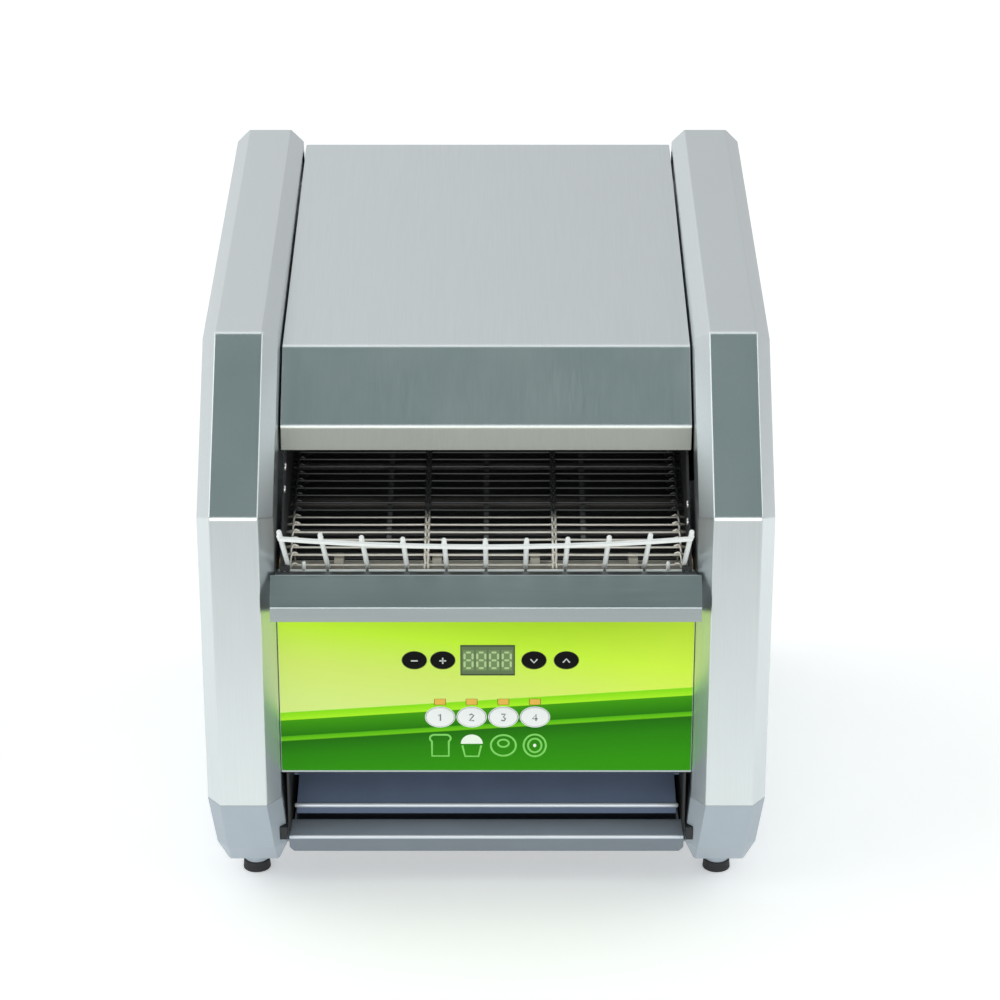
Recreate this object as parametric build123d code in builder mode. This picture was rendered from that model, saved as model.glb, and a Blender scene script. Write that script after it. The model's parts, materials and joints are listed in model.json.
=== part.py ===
from build123d import *
import os
from itertools import pairwise
from math import atan2, cos, degrees, pi, radians, sin, sqrt, tan

os.makedirs("parts", exist_ok=True)

# Conveyor toaster, in mm. The origin is the bottom centre of its box, +Z up, the load end faces -Y.

# sheet metal and gaps
sheet = 1.5            # covers, chassis plates, pans
thin_sheet = 1.2       # trims, trays and reflectors
seat = 0.3             # gap between two pieces that seat on each other
running = 0.05         # radial gap of a shaft in its bore
cover_gap = 1.5        # open joint between the hood and the columns

# belt: a flat wire belt on toothed wheels
belt_width = 254.0
belt_wire = 1.6
belt_pitch = 7.7
belt_teeth = 10        # wires round one belt wheel
belt_run_pitches = 36  # wires along one run
belt_tilt = 16.4       # degrees, rising to the rear
belt_side_gap = 3.2
belt_nose_inset = 28.0  # front shaft behind the front plane
belt_nose_drop = 48.3   # front shaft below the shoulder
lane_count = 3
link_end_gap = 0.5

# body
column_width = 49.0
bevel = 9.2            # bevel down both edges of each column
bevel_front = 12.5     # how far the front and the slant stand out between the bevels
bevel_top = 9.0        # and the top
body_depth = 387.0     # front plane to the rear faces
foot_height = 17.0
rail_height = 48.0
column_height = 200.0  # top of the base rail to the shoulder
slant_run = 82.0
slant_rise = 92.0
top_rise = 46.0
return_depth = 32.0    # folded edge on the inner side of a column
screw_head = 2.0
screw_radius = 3.6

# hood
hood_lip_inset = 61.0
hood_lip_rise = 22.0   # bottom of the lip above the shoulder
hood_lip_height = 17.0
hood_brow_run = 38.0
hood_brow_rise = 42.0
hood_top_slope = 10.8  # degrees
hood_flange = 14.0
hood_rear_flange = 24.0

# front trim, panel and discharge
apron_drop = 37.0      # top edge below the shoulder
apron_top_out = 6.0
apron_lip_out = 18.0
apron_face_drop = 17.6
apron_lip_height = 9.8
apron_overlap = 2.6    # beyond the column's inner edge, over its bevel
apron_back_depth = 11.0
panel_inset = 1.0
panel_rise = 18.0      # bottom edge above the base rails
panel_flange = 13.0
overlay_thickness = 0.5
ramp_inset = 16.0
ramp_drop = 15.0       # front edge below the base rail tops
ramp_lip = 6.0
ramp_slope = 17.0      # degrees
ramp_side_flange = 8.0
ramp_notch = 3.4
ramp_notch_depth = 30.0
tray_rear_gap = 10.0   # in front of the cooling fan
tray_wall_height = 17.0
tray_handle_depth = 22.0
tray_handle_height = 11.6
tray_side_gap = 1.2
tray_handle_overlap = 2.0   # handle beyond the sides of the tray
tray_corner = 3.0

# load rack
rack_wire = 3.2
rack_count = 11
rack_inset = 8.6       # hinge wire behind the front plane
rack_drop = 41.0       # hinge wire below the shoulder
rack_length = 88.0
rack_tip = 5.0         # wire beyond the upper cross wire
rack_weld_gap = 0.05   # uprights lie on the cross wires, spot welded
rack_angle_mid = 34.5  # degrees above level, middle wires
rack_angle_end = 38.0  # and end wires
rack_peg_height = 7.0
rack_peg_inset = 10.0  # in from the edge of the belt
rack_stop_width = 4.8
rack_stop_height = 3.2
rack_wire_end = 2.8    # hinge wire beyond the chassis plates

# drive
shaft_radius = 5.0
bush_radius = 8.0
bush_flange_radius = 10.5
bush_flange = 2.0
chain_pitch = 9.525
chain_teeth = 12
chain_run_pitches = 7
chain_plate = 0.7
chain_roller_radius = 2.4
chain_roller_half = 1.6
sprocket_half = 1.2
chain_offset = 6.5     # chain line outside the chassis plate
motor_gap = 6.0        # gearbox face outside the chain line
gearbox_length = 20.0
gearbox_width = 62.0
gearbox_height = 74.0
can_length = 17.0
can_radius = 26.0

# heating
heater_radius = 4.0
heater_count = 3
heater_spacing = 70.0
heater_height = 45.0   # upper heaters above the belt
heater_setback = 24.0  # upper heaters set back from the lower ones
reflector_height = 60.0
reflector_overhang = 16.0

# cooling fan
fan_size = 80.0
fan_depth = 25.0
fan_bore = 38.0
fan_hub = 16.0
fan_blades = 7
fan_tip_gap = 1.5
fan_pin = 2.0
fan_inset = 68.2       # fan axis in from the left chassis plate
panel_recess = 14.0    # rear panel in front of the rear faces

# control keys
key_width = 15.2
key_height = 11.8
program_key_width = 18.2
program_key_height = 13.6
key_gap = 0.3
key_travel = 0.6
key_proud = 0.9
key_flange = 1.2
black_key_places = (-46.5, -28.1, 31.0, 52.0)
black_key_names = ("outer_left_key", "inner_left_key", "inner_right_key", "outer_right_key")
program_key_places = (-30.1, -9.5, 11.2, 31.8)
program_key_names = ("slice_key", "bun_key", "ring_key", "muffin_key")
black_key_drop = 35.6      # below the top of the panel
program_key_drop = 76.6
lamp_drop = 65.7
display_width = 35.3
display_height = 21.3
display_offset = 1.0
lamp_width = 7.6
lamp_height = 4.6
board_gap = 5.6        # control board behind the panel
board_thickness = 1.6
board_side_gap = 38.0
board_post_inset = 7.0
shield_depth = 46.0    # sheet behind the controls, behind the front plane
shield_knee = 50.0     # where it bends forward, above the panel's lower edge
guide_width = 4.5      # tray guides, set in the inner corners of the base rails
guide_depth = 8.2
guide_height = 9.0
guide_rise = 18.5      # above the bottom of the rails
guide_out = 4.5        # in front of the front plane

# feet and gland
foot_inset = 29.0
foot_setback = 23.0
pad_radius = 9.3
pad_height = 7.0
stud_radius = 4.0
gland_bore = 4.5
gland_body = 9.0
gland_length = 18.0
gland_height = 58.0
gland_inset = 34.2     # gland axis in from the right chassis plate

# electrical parts on the left chassis plate
relay_size = (40.0, 50.0)
relay_depth = 28.0
relay_setback = 70.0   # behind the front plane
relay_rise = 80.0      # above the base rail
relay_tab_length = 5.0
relay_tab = (6.0, 5.0)
terminal_size = (50.0, 22.0)
terminal_depth = 16.0
terminal_setback = 60.0  # in front of the rear faces
terminal_rise = 30.0
terminal_pitch = 10.0
terminal_slot = (7.0, 12.0)
thermostat_radius = 12.0
thermostat_depth = 8.0
thermostat_drop = 24.0   # below the upper heaters

# stations across the width, from the middle outwards
belt_half = belt_width / 2
chassis_inner = belt_half + belt_side_gap
chassis_outer = chassis_inner + sheet
hood_half = chassis_outer + seat + sheet
column_inner = hood_half + cover_gap
half_width = column_inner + column_width
apron_half = column_inner + apron_overlap
fan_offset = fan_inset - chassis_inner
gland_offset = chassis_inner - gland_inset
board_half = hood_half - board_side_gap

# levels
base_top = foot_height + rail_height
shoulder_z = base_top + column_height
fold_z = shoulder_z + slant_rise
rear_z = fold_z + top_rise
pan_top = foot_height + sheet
tray_bottom = pan_top + seat
tray_top = tray_bottom + tray_wall_height

# the rack leans out in front of the columns, so it sets the front of the box
rack_lift = rack_wire + rack_weld_gap
rack_reach = rack_length * cos(radians(rack_angle_mid)) - rack_inset
rack_reach += (rack_wire / 2 - rack_lift) * sin(radians(rack_angle_mid))
overall_depth = body_depth + rack_reach
front_y = rack_reach - overall_depth / 2
rear_y = overall_depth / 2
cover_rear = rear_y - screw_head
chassis_front = front_y + 4.0
chassis_rear = rear_y - panel_recess - sheet
low_front = front_y + tray_handle_depth + 4.0  # behind the tray's handle

# belt line
belt_wheel = belt_pitch / (2 * sin(pi / belt_teeth))
belt_length = belt_run_pitches * belt_pitch
nose_y = front_y + belt_nose_inset
nose_z = shoulder_z - belt_nose_drop
wire_corner = belt_wire / sqrt(2)


def belt_point(along, above=0.0):
    """A (y, z) place: a distance from the front shaft along the belt, and a height above its top run."""
    tilt = radians(belt_tilt)
    rise = belt_wheel + above
    return (
        nose_y + along * cos(tilt) - rise * sin(tilt),
        nose_z + along * sin(tilt) + rise * cos(tilt),
    )


drive_y, drive_z = belt_point(belt_length, -belt_wheel)


def offset_path(points, amount):
    """The open path moved to its left by amount, with mitred corners."""
    turned = [atan2(b[1] - a[1], b[0] - a[0]) for a, b in pairwise(points)]
    moved = []
    for place, (y, z) in enumerate(points):
        before = turned[max(place - 1, 0)]
        after = turned[min(place, len(turned) - 1)]
        middle = (before + after) / 2
        reach = amount / cos((after - before) / 2)
        moved.append((y - reach * sin(middle), z + reach * cos(middle)))
    return moved


def sheet_profile(points, thickness):
    """Closed outline of a bent sheet: the path, and the path moved to its left."""
    return [*points, *reversed(offset_path(points, thickness))]


def save(piece, name):
    """Label a finished piece and write it as its own file."""
    piece.label = name
    export_step(piece, f"parts/{name}.step")


# side columns

def column_outline(front_out, top_out, rear, bottom):
    """Side view of a column, its front and slant moved outwards, and its top."""
    fold_y = front_y + slant_run
    front, shoulder, _ = offset_path(
        [(front_y, base_top), (front_y, shoulder_z), (fold_y, fold_z)], front_out
    )
    slant = slant_rise / slant_run
    slope = top_rise / (rear_y - fold_y)
    # the moved top as a height over y, and where the moved slant meets it
    top_start = fold_z - fold_y * slope + top_out * sqrt(1 + slope**2)
    meet_y = (top_start - shoulder[1] + slant * shoulder[0]) / (slant - slope)
    return [
        (front[0], bottom),
        shoulder,
        (meet_y, top_start + meet_y * slope),
        (rear, top_start + rear * slope),
        (rear, bottom),
    ]


def column_sections(inset):
    """From the outer side inwards: x, and how far the front and the top stand out there."""
    plans = []
    for depth in (bevel_front, bevel_top):
        plan = [
            (half_width, -depth),
            (half_width, 0),
            (half_width - bevel, depth),
            (column_inner + bevel, depth),
            (column_inner, 0),
            (column_inner, -depth),
        ]
        plans.append(offset_path(plan, inset)[1:-1])
    return [(x, front_out, top_out) for (x, front_out), (_, top_out) in zip(*plans)]


def side_cover(side):
    """Bevelled column cover: open below and on its inner side, behind a folded edge."""
    vent_count = 9
    vent_pitch = 11.0
    with BuildPart() as cover:
        for inset, rear, bottom, mode in (
            (0, cover_rear, base_top, Mode.ADD),
            (sheet, cover_rear - sheet, base_top - 1, Mode.SUBTRACT),
        ):
            for pair in pairwise(column_sections(inset)):
                for x, *out in pair:
                    with BuildSketch(Plane.YZ.offset(side * x)):
                        with BuildLine():
                            Polyline(*column_outline(*out, rear, bottom), close=True)
                        make_face()
                loft(ruled=True, mode=mode)
        with BuildSketch(Plane.YZ.offset(side * column_inner)):
            with BuildLine():
                Polyline(
                    *column_outline(-return_depth, -return_depth, cover_rear - sheet, base_top - 1),
                    close=True,
                )
            make_face()
        extrude(amount=side * sheet, mode=Mode.SUBTRACT)
        with BuildSketch(Plane.YZ.offset(side * half_width)):
            with Locations((rear_y - 90, base_top + 45)):
                with GridLocations(vent_pitch, 1, vent_count, 1):
                    Rectangle(4, 46)
        extrude(amount=-side * sheet, mode=Mode.SUBTRACT)
    return cover


for side, hand in ((-1, "left"), (1, "right")):
    save(side_cover(side).part, f"{hand}_side_cover")

# base rails
# each level: height, how far the outer, front and rear, and inner faces stand in,
# and the width and depth of the bevel
rail_wall = 2.5
rail_knee = 14.5       # where the lower taper meets the upper one
rail_levels = (
    (foot_height, 12.0, 4.8, 3.0, 1.5, 2.0),
    (foot_height + rail_knee, 5.2, 1.0, chassis_outer + seat - column_inner, 8.0, 9.5),
    (base_top, 0.0, 0.0, 0.0, bevel, bevel_front),
)
guide_bottom = foot_height + guide_rise
guide_places = [
    (side * (chassis_outer + seat + guide_width / 2), front_y - guide_out + guide_depth / 2)
    for side in (-1, 1)
]


def rail_plan(side, wall, outer_in, ends_in, inner_in, corner, corner_depth):
    """Plan of a rail at one level, or of its hollow inside a wall."""
    outer = half_width - outer_in - wall
    inner = column_inner + inner_in + wall
    front = front_y + ends_in + wall
    rear = cover_rear - ends_in - wall
    plan = [
        (outer, rear),
        (outer, front),
        (outer - corner, front - corner_depth),
        (inner + corner, front - corner_depth),
        (inner, front),
        (inner, rear),
    ]
    return [(side * x, y) for x, y in plan]


def rail_inner_at(height):
    """Where the inner face of a rail stands near its foot."""
    (low, _, _, low_in, *_), (high, _, _, high_in, *_) = rail_levels[:2]
    return column_inner + low_in + (high_in - low_in) * (height - low) / (high - low)


foot_x = half_width - foot_inset
foot_ys = (front_y + foot_setback, rear_y - foot_setback)


def base_rail(side):
    """Moulded foot rail: a trough with tapered walls that the cover stands on."""
    hollow_levels = ((foot_height + rail_wall, *rail_levels[0][1:]), *rail_levels[1:])
    with BuildPart() as rail:
        for wall, levels, mode in (
            (0, rail_levels, Mode.ADD),
            (rail_wall, hollow_levels, Mode.SUBTRACT),
        ):
            for pair in pairwise(levels):
                for height, *taper in pair:
                    with BuildSketch(Plane.XY.offset(height)):
                        with BuildLine():
                            Polyline(*rail_plan(side, wall, *taper), close=True)
                        make_face()
                loft(ruled=True, mode=mode)
        with BuildSketch(Plane.XY.offset(guide_bottom - seat)):
            with Locations(*guide_places):
                Rectangle(guide_width + 2 * seat, guide_depth + 2 * seat)
        extrude(amount=guide_height + 2 * seat, mode=Mode.SUBTRACT)
        with BuildSketch(Plane.XY.offset(foot_height)):
            with Locations(*[(side * foot_x, y) for y in foot_ys]):
                Circle(stud_radius + seat)
        extrude(amount=rail_wall, mode=Mode.SUBTRACT)
    return rail


for side, hand in ((-1, "left"), (1, "right")):
    save(base_rail(side).part, f"{hand}_base_rail")

foot_places = [(side * foot_x, y) for side in (-1, 1) for y in foot_ys]
stud_height = 12.0
nut_height = 4.0
with BuildPart() as rubber_feet:
    with BuildSketch():
        with Locations(*foot_places):
            Circle(pad_radius)
    extrude(amount=pad_height, taper=4)
save(rubber_feet.part, "rubber_feet")

with BuildPart() as foot_studs:
    with BuildSketch(Plane.XY.offset(pad_height)):
        with Locations(*foot_places):
            Circle(pad_radius - 1.5)
    extrude(amount=foot_height - pad_height)
    with BuildSketch(Plane.XY.offset(foot_height)):
        with Locations(*foot_places):
            Circle(stud_radius)
    extrude(amount=stud_height)
save(foot_studs.part, "foot_studs")

with BuildPart() as foot_nuts:
    with BuildSketch(Plane.XY.offset(foot_height + rail_wall)):
        with Locations(*foot_places):
            RegularPolygon(stud_radius * 1.8, 6)
            Circle(stud_radius + running, mode=Mode.SUBTRACT)
    extrude(amount=nut_height)
save(foot_nuts.part, "foot_nuts")

# base pan and tray guides
pan_half = rail_inner_at(pan_top) - seat
with BuildPart() as base_pan:
    with BuildSketch(Plane.XY.offset(foot_height)):
        with Locations((0, (low_front + chassis_rear) / 2)):
            Rectangle(2 * pan_half, chassis_rear - low_front)
        with Locations((0, rear_y - 110)):
            with GridLocations(24, 1, 8, 1):
                Rectangle(6, 50, mode=Mode.SUBTRACT)
    extrude(amount=sheet)
save(base_pan.part, "base_pan")

with BuildPart() as tray_guides:
    with BuildSketch(Plane.XY.offset(guide_bottom)):
        with Locations(*guide_places):
            Rectangle(guide_width, guide_depth)
    extrude(amount=guide_height)
save(tray_guides.part, "tray_guides")

# hood
lip_y = front_y + hood_lip_inset
lip_z = shoulder_z + hood_lip_rise
brow_z = lip_z + hood_lip_height
hood_fold = (lip_y + hood_brow_run, brow_z + hood_brow_rise)
hood_rear_z = hood_fold[1] + (cover_rear - hood_fold[0]) * tan(radians(hood_top_slope))
hood_path = [
    (lip_y, lip_z),
    (lip_y, brow_z),
    hood_fold,
    (cover_rear, hood_rear_z),
    (cover_rear, hood_rear_z - hood_rear_flange),
]
with BuildPart() as hood:
    with BuildSketch(Plane.YZ):
        with BuildLine():
            Polyline(*sheet_profile(hood_path, -hood_flange), close=True)
        make_face()
    extrude(amount=hood_half, both=True)
    room = offset_path(hood_path, -sheet)
    room[0] = (room[0][0], lip_z - 1)
    room[-1] = (room[-1][0], room[-1][1] - 1)
    with BuildSketch(Plane.YZ):
        with BuildLine():
            Polyline(*sheet_profile(room, -hood_flange), close=True)
        make_face()
    extrude(amount=hood_half - sheet, both=True, mode=Mode.SUBTRACT)
save(hood.part, "hood")

# chassis plates
heater_start = (belt_length - (heater_count - 1) * heater_spacing) / 2
heater_alongs = [heater_start + place * heater_spacing for place in range(heater_count)]
upper_alongs = [along + heater_setback for along in heater_alongs]
upper_heater_places = [belt_point(along, heater_height) for along in upper_alongs]
lower_heater_places = [belt_point(along, -belt_wheel) for along in heater_alongs]
rack_y = front_y + rack_inset
rack_z = shoulder_z - rack_drop
under_hood = offset_path(hood_path, -(sheet + seat))
top_slope = tan(radians(hood_top_slope))
hood_under_rear = under_hood[2][1] + (chassis_rear - under_hood[2][0]) * top_slope
# a lug at the plate's nose stops the end uprights of the rack
stop_y = front_y + sheet
upright_slope = tan(radians(rack_angle_end))
upright_low = (rack_lift - rack_wire / 2) / cos(radians(rack_angle_end))
stop_z = rack_z + (rack_y - stop_y) * upright_slope + upright_low - seat
low_step_z = tray_top + 1.5
chassis_outline = [
    (low_front, pan_top),
    (low_front, low_step_z),
    (chassis_front, low_step_z),
    (chassis_front, rack_z - 5),
    (front_y, rack_z - 5),
    (front_y, stop_z),
    (stop_y, stop_z),
    (lip_y, lip_z - 3),
    (under_hood[1][0], lip_z - 3),
    under_hood[1],
    under_hood[2],
    (chassis_rear, hood_under_rear),
    (chassis_rear, pan_top),
]


def chassis_plate(side):
    """Inner side wall: it carries the shafts, heaters, ramp and hood."""
    with BuildPart() as chassis:
        with BuildSketch(Plane.YZ.offset(side * chassis_inner)):
            with BuildLine():
                Polyline(*chassis_outline, close=True)
            make_face()
            with Locations((nose_y, nose_z), (drive_y, drive_z)):
                Circle(bush_radius + running, mode=Mode.SUBTRACT)
            with Locations(*upper_heater_places, *lower_heater_places):
                Circle(heater_radius + seat, mode=Mode.SUBTRACT)
            with Locations((rack_y, rack_z)):
                Circle(rack_wire / 2 + 0.1, mode=Mode.SUBTRACT)
        extrude(amount=side * sheet)
        with BuildSketch(Plane.XZ.offset(-front_y)):
            with Locations((side * (chassis_inner - rack_stop_width / 2), stop_z)):
                Rectangle(rack_stop_width, rack_stop_height, align=(Align.CENTER, Align.MAX))
        extrude(amount=-sheet)
    return chassis


for side, hand in ((-1, "left"), (1, "right")):
    save(chassis_plate(side).part, f"{hand}_chassis_plate")

# rear panel, gland and fan
rear_face = rear_y - panel_recess
rear_panel_top = hood_under_rear
rear_panel_half = chassis_outer
fan_z = pan_top + seat + fan_size / 2
gland_z = gland_height
louvre_z = drive_z
louvre_half = 75.0
with BuildPart() as rear_panel:
    with BuildSketch(Plane.XZ.offset(-chassis_rear)):
        with Locations((0, (pan_top + rear_panel_top) / 2)):
            Rectangle(2 * rear_panel_half, rear_panel_top - pan_top)
        with Locations((gland_offset, gland_z)):
            Circle(gland_body + running, mode=Mode.SUBTRACT)
        for step in range(-4, 5):
            across = step * fan_bore / 5
            height = 2 * sqrt((fan_bore - 2) ** 2 - across**2)
            with Locations((fan_offset + across, fan_z)):
                Rectangle(4, height, mode=Mode.SUBTRACT)
        with Locations((0, louvre_z)):
            with GridLocations(1, 12, 1, 5):
                Rectangle(2 * louvre_half, 5, mode=Mode.SUBTRACT)
    extrude(amount=-sheet)
    # pressed louvre hoods over the slots
    with BuildSketch(Plane.YZ):
        with Locations((rear_face, louvre_z)):
            with GridLocations(1, 12, 1, 5):
                Polygon((0, 3.5), (5, -2.5), (5, -3.7), (0, 2.3), align=None)
    extrude(amount=louvre_half + 2, both=True)
save(rear_panel.part, "rear_panel")

gland_front = rear_face - 8
with BuildPart() as cord_gland:
    with BuildSketch(Plane.XZ.offset(-gland_front)):
        with Locations((gland_offset, gland_z)):
            Circle(gland_body)
            Circle(gland_bore, mode=Mode.SUBTRACT)
    extrude(amount=-gland_length)
    with BuildSketch(Plane.XZ.offset(-rear_face)):
        with Locations((gland_offset, gland_z)):
            RegularPolygon(gland_body * 1.4, 6)
            Circle(gland_bore, mode=Mode.SUBTRACT)
    extrude(amount=-5)
save(cord_gland.part, "cord_gland")

fan_front = chassis_rear - seat - fan_depth
fan_base = 5.0
rotor_front = fan_front + 1.5
rotor_length = fan_depth - fan_base - 3.0
rotor_rear = rotor_front + rotor_length
with BuildPart() as fan_frame:
    with BuildSketch(Plane.XZ.offset(-fan_front)):
        with Locations((fan_offset, fan_z)):
            RectangleRounded(fan_size, fan_size, 4)
            Circle(fan_bore, mode=Mode.SUBTRACT)
    extrude(amount=-fan_depth)
    with BuildSketch(Plane.XZ.offset(-(rotor_rear + seat))):
        with Locations((fan_offset, fan_z)):
            Circle(fan_hub)
            Rectangle(2 * fan_bore + 1, 5)
            Rectangle(5, 2 * fan_bore + 1)
            Circle(fan_pin + running, mode=Mode.SUBTRACT)
    extrude(amount=-fan_base + 1)
save(fan_frame.part, "fan_frame")

blade_tip = fan_bore - fan_tip_gap
blade_angle = 38.0
blade_chord = 17.0
with BuildPart() as fan_rotor:
    with BuildSketch(Plane.XZ.offset(-rotor_front)):
        with Locations((fan_offset, fan_z)):
            Circle(fan_hub)
    extrude(amount=-rotor_length)
    with BuildSketch(Plane.XZ.offset(-rotor_rear)):
        with Locations((fan_offset, fan_z)):
            Circle(fan_pin)
    extrude(amount=-3)
    for blade in range(fan_blades):
        turn = 360 * blade / fan_blades
        hub_face = Plane(
            origin=(fan_offset, rotor_front + rotor_length / 2, fan_z),
            x_dir=(cos(radians(turn)), 0, sin(radians(turn))),
            z_dir=(0, -1, 0),
        )
        root = Plane(
            origin=hub_face.from_local_coords((fan_hub - 2, 0, 0)),
            x_dir=hub_face.y_dir,
            z_dir=hub_face.x_dir,
        )
        with BuildSketch(root):
            Rectangle(blade_chord, 1.4, rotation=blade_angle)
        extrude(amount=blade_tip - fan_hub + 1)
save(fan_rotor.part, "fan_rotor")

# belt, shafts and rollers
def belt_places():
    """Centres of the belt's wires in order: top run, rear wheel, lower run, front wheel."""
    places = [belt_point(step * belt_pitch) for step in range(belt_run_pitches)]
    for centre_along, first_angle in ((belt_length, 90), (0, -90)):
        centre = belt_point(centre_along, -belt_wheel)
        for step in range(belt_teeth // 2):
            angle = radians(first_angle + belt_tilt - step * 360 / belt_teeth)
            places.append((centre[0] + belt_wheel * cos(angle), centre[1] + belt_wheel * sin(angle)))
        if centre_along:
            for step in range(belt_run_pitches):
                along = belt_length - step * belt_pitch
                places.append(belt_point(along, -2 * belt_wheel))
    return places


def link_outline():
    """One wire in plan: a straight bar with the four link ends that hold the next wire."""
    half_wire = belt_wire / 2
    reach = belt_pitch - wire_corner - link_end_gap
    lane = belt_width / lane_count
    points = [(-belt_half, -half_wire), (belt_half, -half_wire)]
    points += [(belt_half, reach), (belt_half - belt_wire, reach), (belt_half - belt_wire, half_wire)]
    for boundary in range(lane_count - 1, 0, -1):
        x = boundary * lane - belt_half
        points += [(x + half_wire, half_wire), (x + half_wire, reach)]
        points += [(x - half_wire, reach), (x - half_wire, half_wire)]
    points += [(belt_wire - belt_half, half_wire), (belt_wire - belt_half, reach), (-belt_half, reach)]
    return points


wires = belt_places()
with BuildPart() as belt_link:
    with BuildSketch():
        with BuildLine():
            Polyline(*link_outline(), close=True)
        make_face()
    extrude(amount=belt_wire / 2, both=True)
links = []
for here, there in zip(wires, wires[1:] + wires[:1]):
    along = Vector(0, there[0] - here[0], there[1] - here[1])
    flat = Plane(origin=(0, *here), x_dir=(1, 0, 0), z_dir=Vector(1, 0, 0).cross(along))
    links.append(belt_link.part.moved(flat.location))
save(Compound(children=links), "conveyor_belt")

wheel_places = (-0.75, -0.25, 0.25, 0.75)
wheel_width = 6.0
shaft_left = -(chassis_outer + bush_flange + 1)
chain_x = chassis_outer + chain_offset
drive_right = chain_x + 3.2
idler_right = -shaft_left
wheel_root = belt_wheel - wire_corner - seat
tooth_share = 0.22     # half of a belt tooth, as a share of its pitch


def toothed_outline(centre, teeth, root, tip, start, share_root, share_tip):
    """Tooth points round a wheel, the first gap at the angle start."""
    points = []
    step = 360 / teeth
    for tooth in range(teeth):
        middle = start + (tooth + 0.5) * step
        for share, radius in (
            (-share_root, root),
            (-share_tip, tip),
            (share_tip, tip),
            (share_root, root),
        ):
            angle = radians(middle + share * step)
            points.append((centre[0] + radius * cos(angle), centre[1] + radius * sin(angle)))
    return points


with BuildPart() as drive_shaft:
    with BuildSketch(Plane.YZ.offset(shaft_left)):
        with Locations((drive_y, drive_z)):
            Circle(shaft_radius)
    extrude(amount=drive_right - shaft_left)
save(drive_shaft.part, "drive_shaft")

belt_tooth_tip = belt_wheel + 0.4
with BuildPart() as belt_sprockets:
    for place in wheel_places:
        with BuildSketch(Plane.YZ.offset(place * belt_half - wheel_width / 2)):
            with BuildLine():
                Polyline(
                    *toothed_outline(
                        (drive_y, drive_z),
                        belt_teeth,
                        wheel_root,
                        belt_tooth_tip,
                        90 + belt_tilt,
                        tooth_share,
                        tooth_share / 2,
                    ),
                    close=True,
                )
            make_face()
            with Locations((drive_y, drive_z)):
                Circle(shaft_radius + running, mode=Mode.SUBTRACT)
        extrude(amount=wheel_width)
save(belt_sprockets.part, "belt_sprockets")

with BuildPart() as idler_shaft:
    with BuildSketch(Plane.YZ.offset(shaft_left)):
        with Locations((nose_y, nose_z)):
            Circle(shaft_radius)
    extrude(amount=idler_right - shaft_left)
save(idler_shaft.part, "idler_shaft")

with BuildPart() as idler_rollers:
    for place in wheel_places:
        with BuildSketch(Plane.YZ.offset(place * belt_half - wheel_width / 2)):
            with Locations((nose_y, nose_z)):
                Circle(wheel_root)
                Circle(shaft_radius + running, mode=Mode.SUBTRACT)
        extrude(amount=wheel_width)
save(idler_rollers.part, "idler_rollers")

with BuildPart() as shaft_bushes:
    for side in (-1, 1):
        with BuildSketch(Plane.YZ.offset(side * chassis_inner)):
            with Locations((nose_y, nose_z), (drive_y, drive_z)):
                Circle(bush_radius)
                Circle(shaft_radius + running, mode=Mode.SUBTRACT)
        extrude(amount=side * sheet)
        with BuildSketch(Plane.YZ.offset(side * chassis_outer)):
            with Locations((nose_y, nose_z), (drive_y, drive_z)):
                Circle(bush_flange_radius)
                Circle(shaft_radius + running, mode=Mode.SUBTRACT)
        extrude(amount=side * bush_flange)
save(shaft_bushes.part, "shaft_bushes")

# slide bars under the top run, carried by cross rods between the heaters
bar_top = -(wire_corner + seat)
bar_height = 5.0
bar_thickness = 3.0
rod_radius = 2.5
bar_ends = belt_wheel + 3.0
rod_level = bar_top - bar_height - rod_radius - running
rod_alongs = [heater_alongs[0] - heater_spacing / 2, heater_alongs[1] - heater_spacing / 2]
rod_alongs += [heater_alongs[1] + heater_spacing / 2, heater_alongs[-1] + heater_spacing / 2]
with BuildPart() as belt_slide_bars:
    for x in (-belt_half / 2, 0, belt_half / 2):
        with BuildSketch(Plane.YZ.offset(x)):
            with BuildLine():
                Polyline(
                    belt_point(bar_ends, bar_top),
                    belt_point(belt_length - bar_ends, bar_top),
                    belt_point(belt_length - bar_ends, bar_top - bar_height),
                    belt_point(bar_ends, bar_top - bar_height),
                    close=True,
                )
            make_face()
        extrude(amount=bar_thickness / 2, both=True)
    with BuildSketch(Plane.YZ):
        with Locations(*[belt_point(along, rod_level) for along in rod_alongs]):
            RegularPolygon(rod_radius, 8)
    extrude(amount=chassis_inner, both=True)
save(belt_slide_bars.part, "belt_slide_bars")

# chain drive
chain_wheel = chain_pitch / (2 * sin(pi / chain_teeth))
motor_y = drive_y
motor_z = drive_z - chain_run_pitches * chain_pitch


def chain_places():
    """Centres of the chain's rollers: over the upper wheel, down, under the lower one, up."""
    step = 360 / chain_teeth
    places = []
    for (y, z), first_angle, run in (
        ((drive_y, drive_z), 0, 1),
        ((motor_y, motor_z), 180, -1),
    ):
        for pin in range(chain_teeth // 2 + 1):
            angle = radians(first_angle + pin * step)
            places.append((y + chain_wheel * cos(angle), z + chain_wheel * sin(angle)))
        for pin in range(1, chain_run_pitches):
            places.append((y - run * chain_wheel, z - run * pin * chain_pitch))
    return places


def link_plate(here, there, radius):
    """Side view of a chain plate with faceted ends round two rollers."""
    along = atan2(there[1] - here[1], there[0] - here[0])
    points = []
    for centre, first in ((there, -60), (here, 120)):
        for turn in (0, 60, 120):
            angle = along + radians(first + turn)
            points.append((centre[0] + radius * cos(angle), centre[1] + radius * sin(angle)))
    return points


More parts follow.
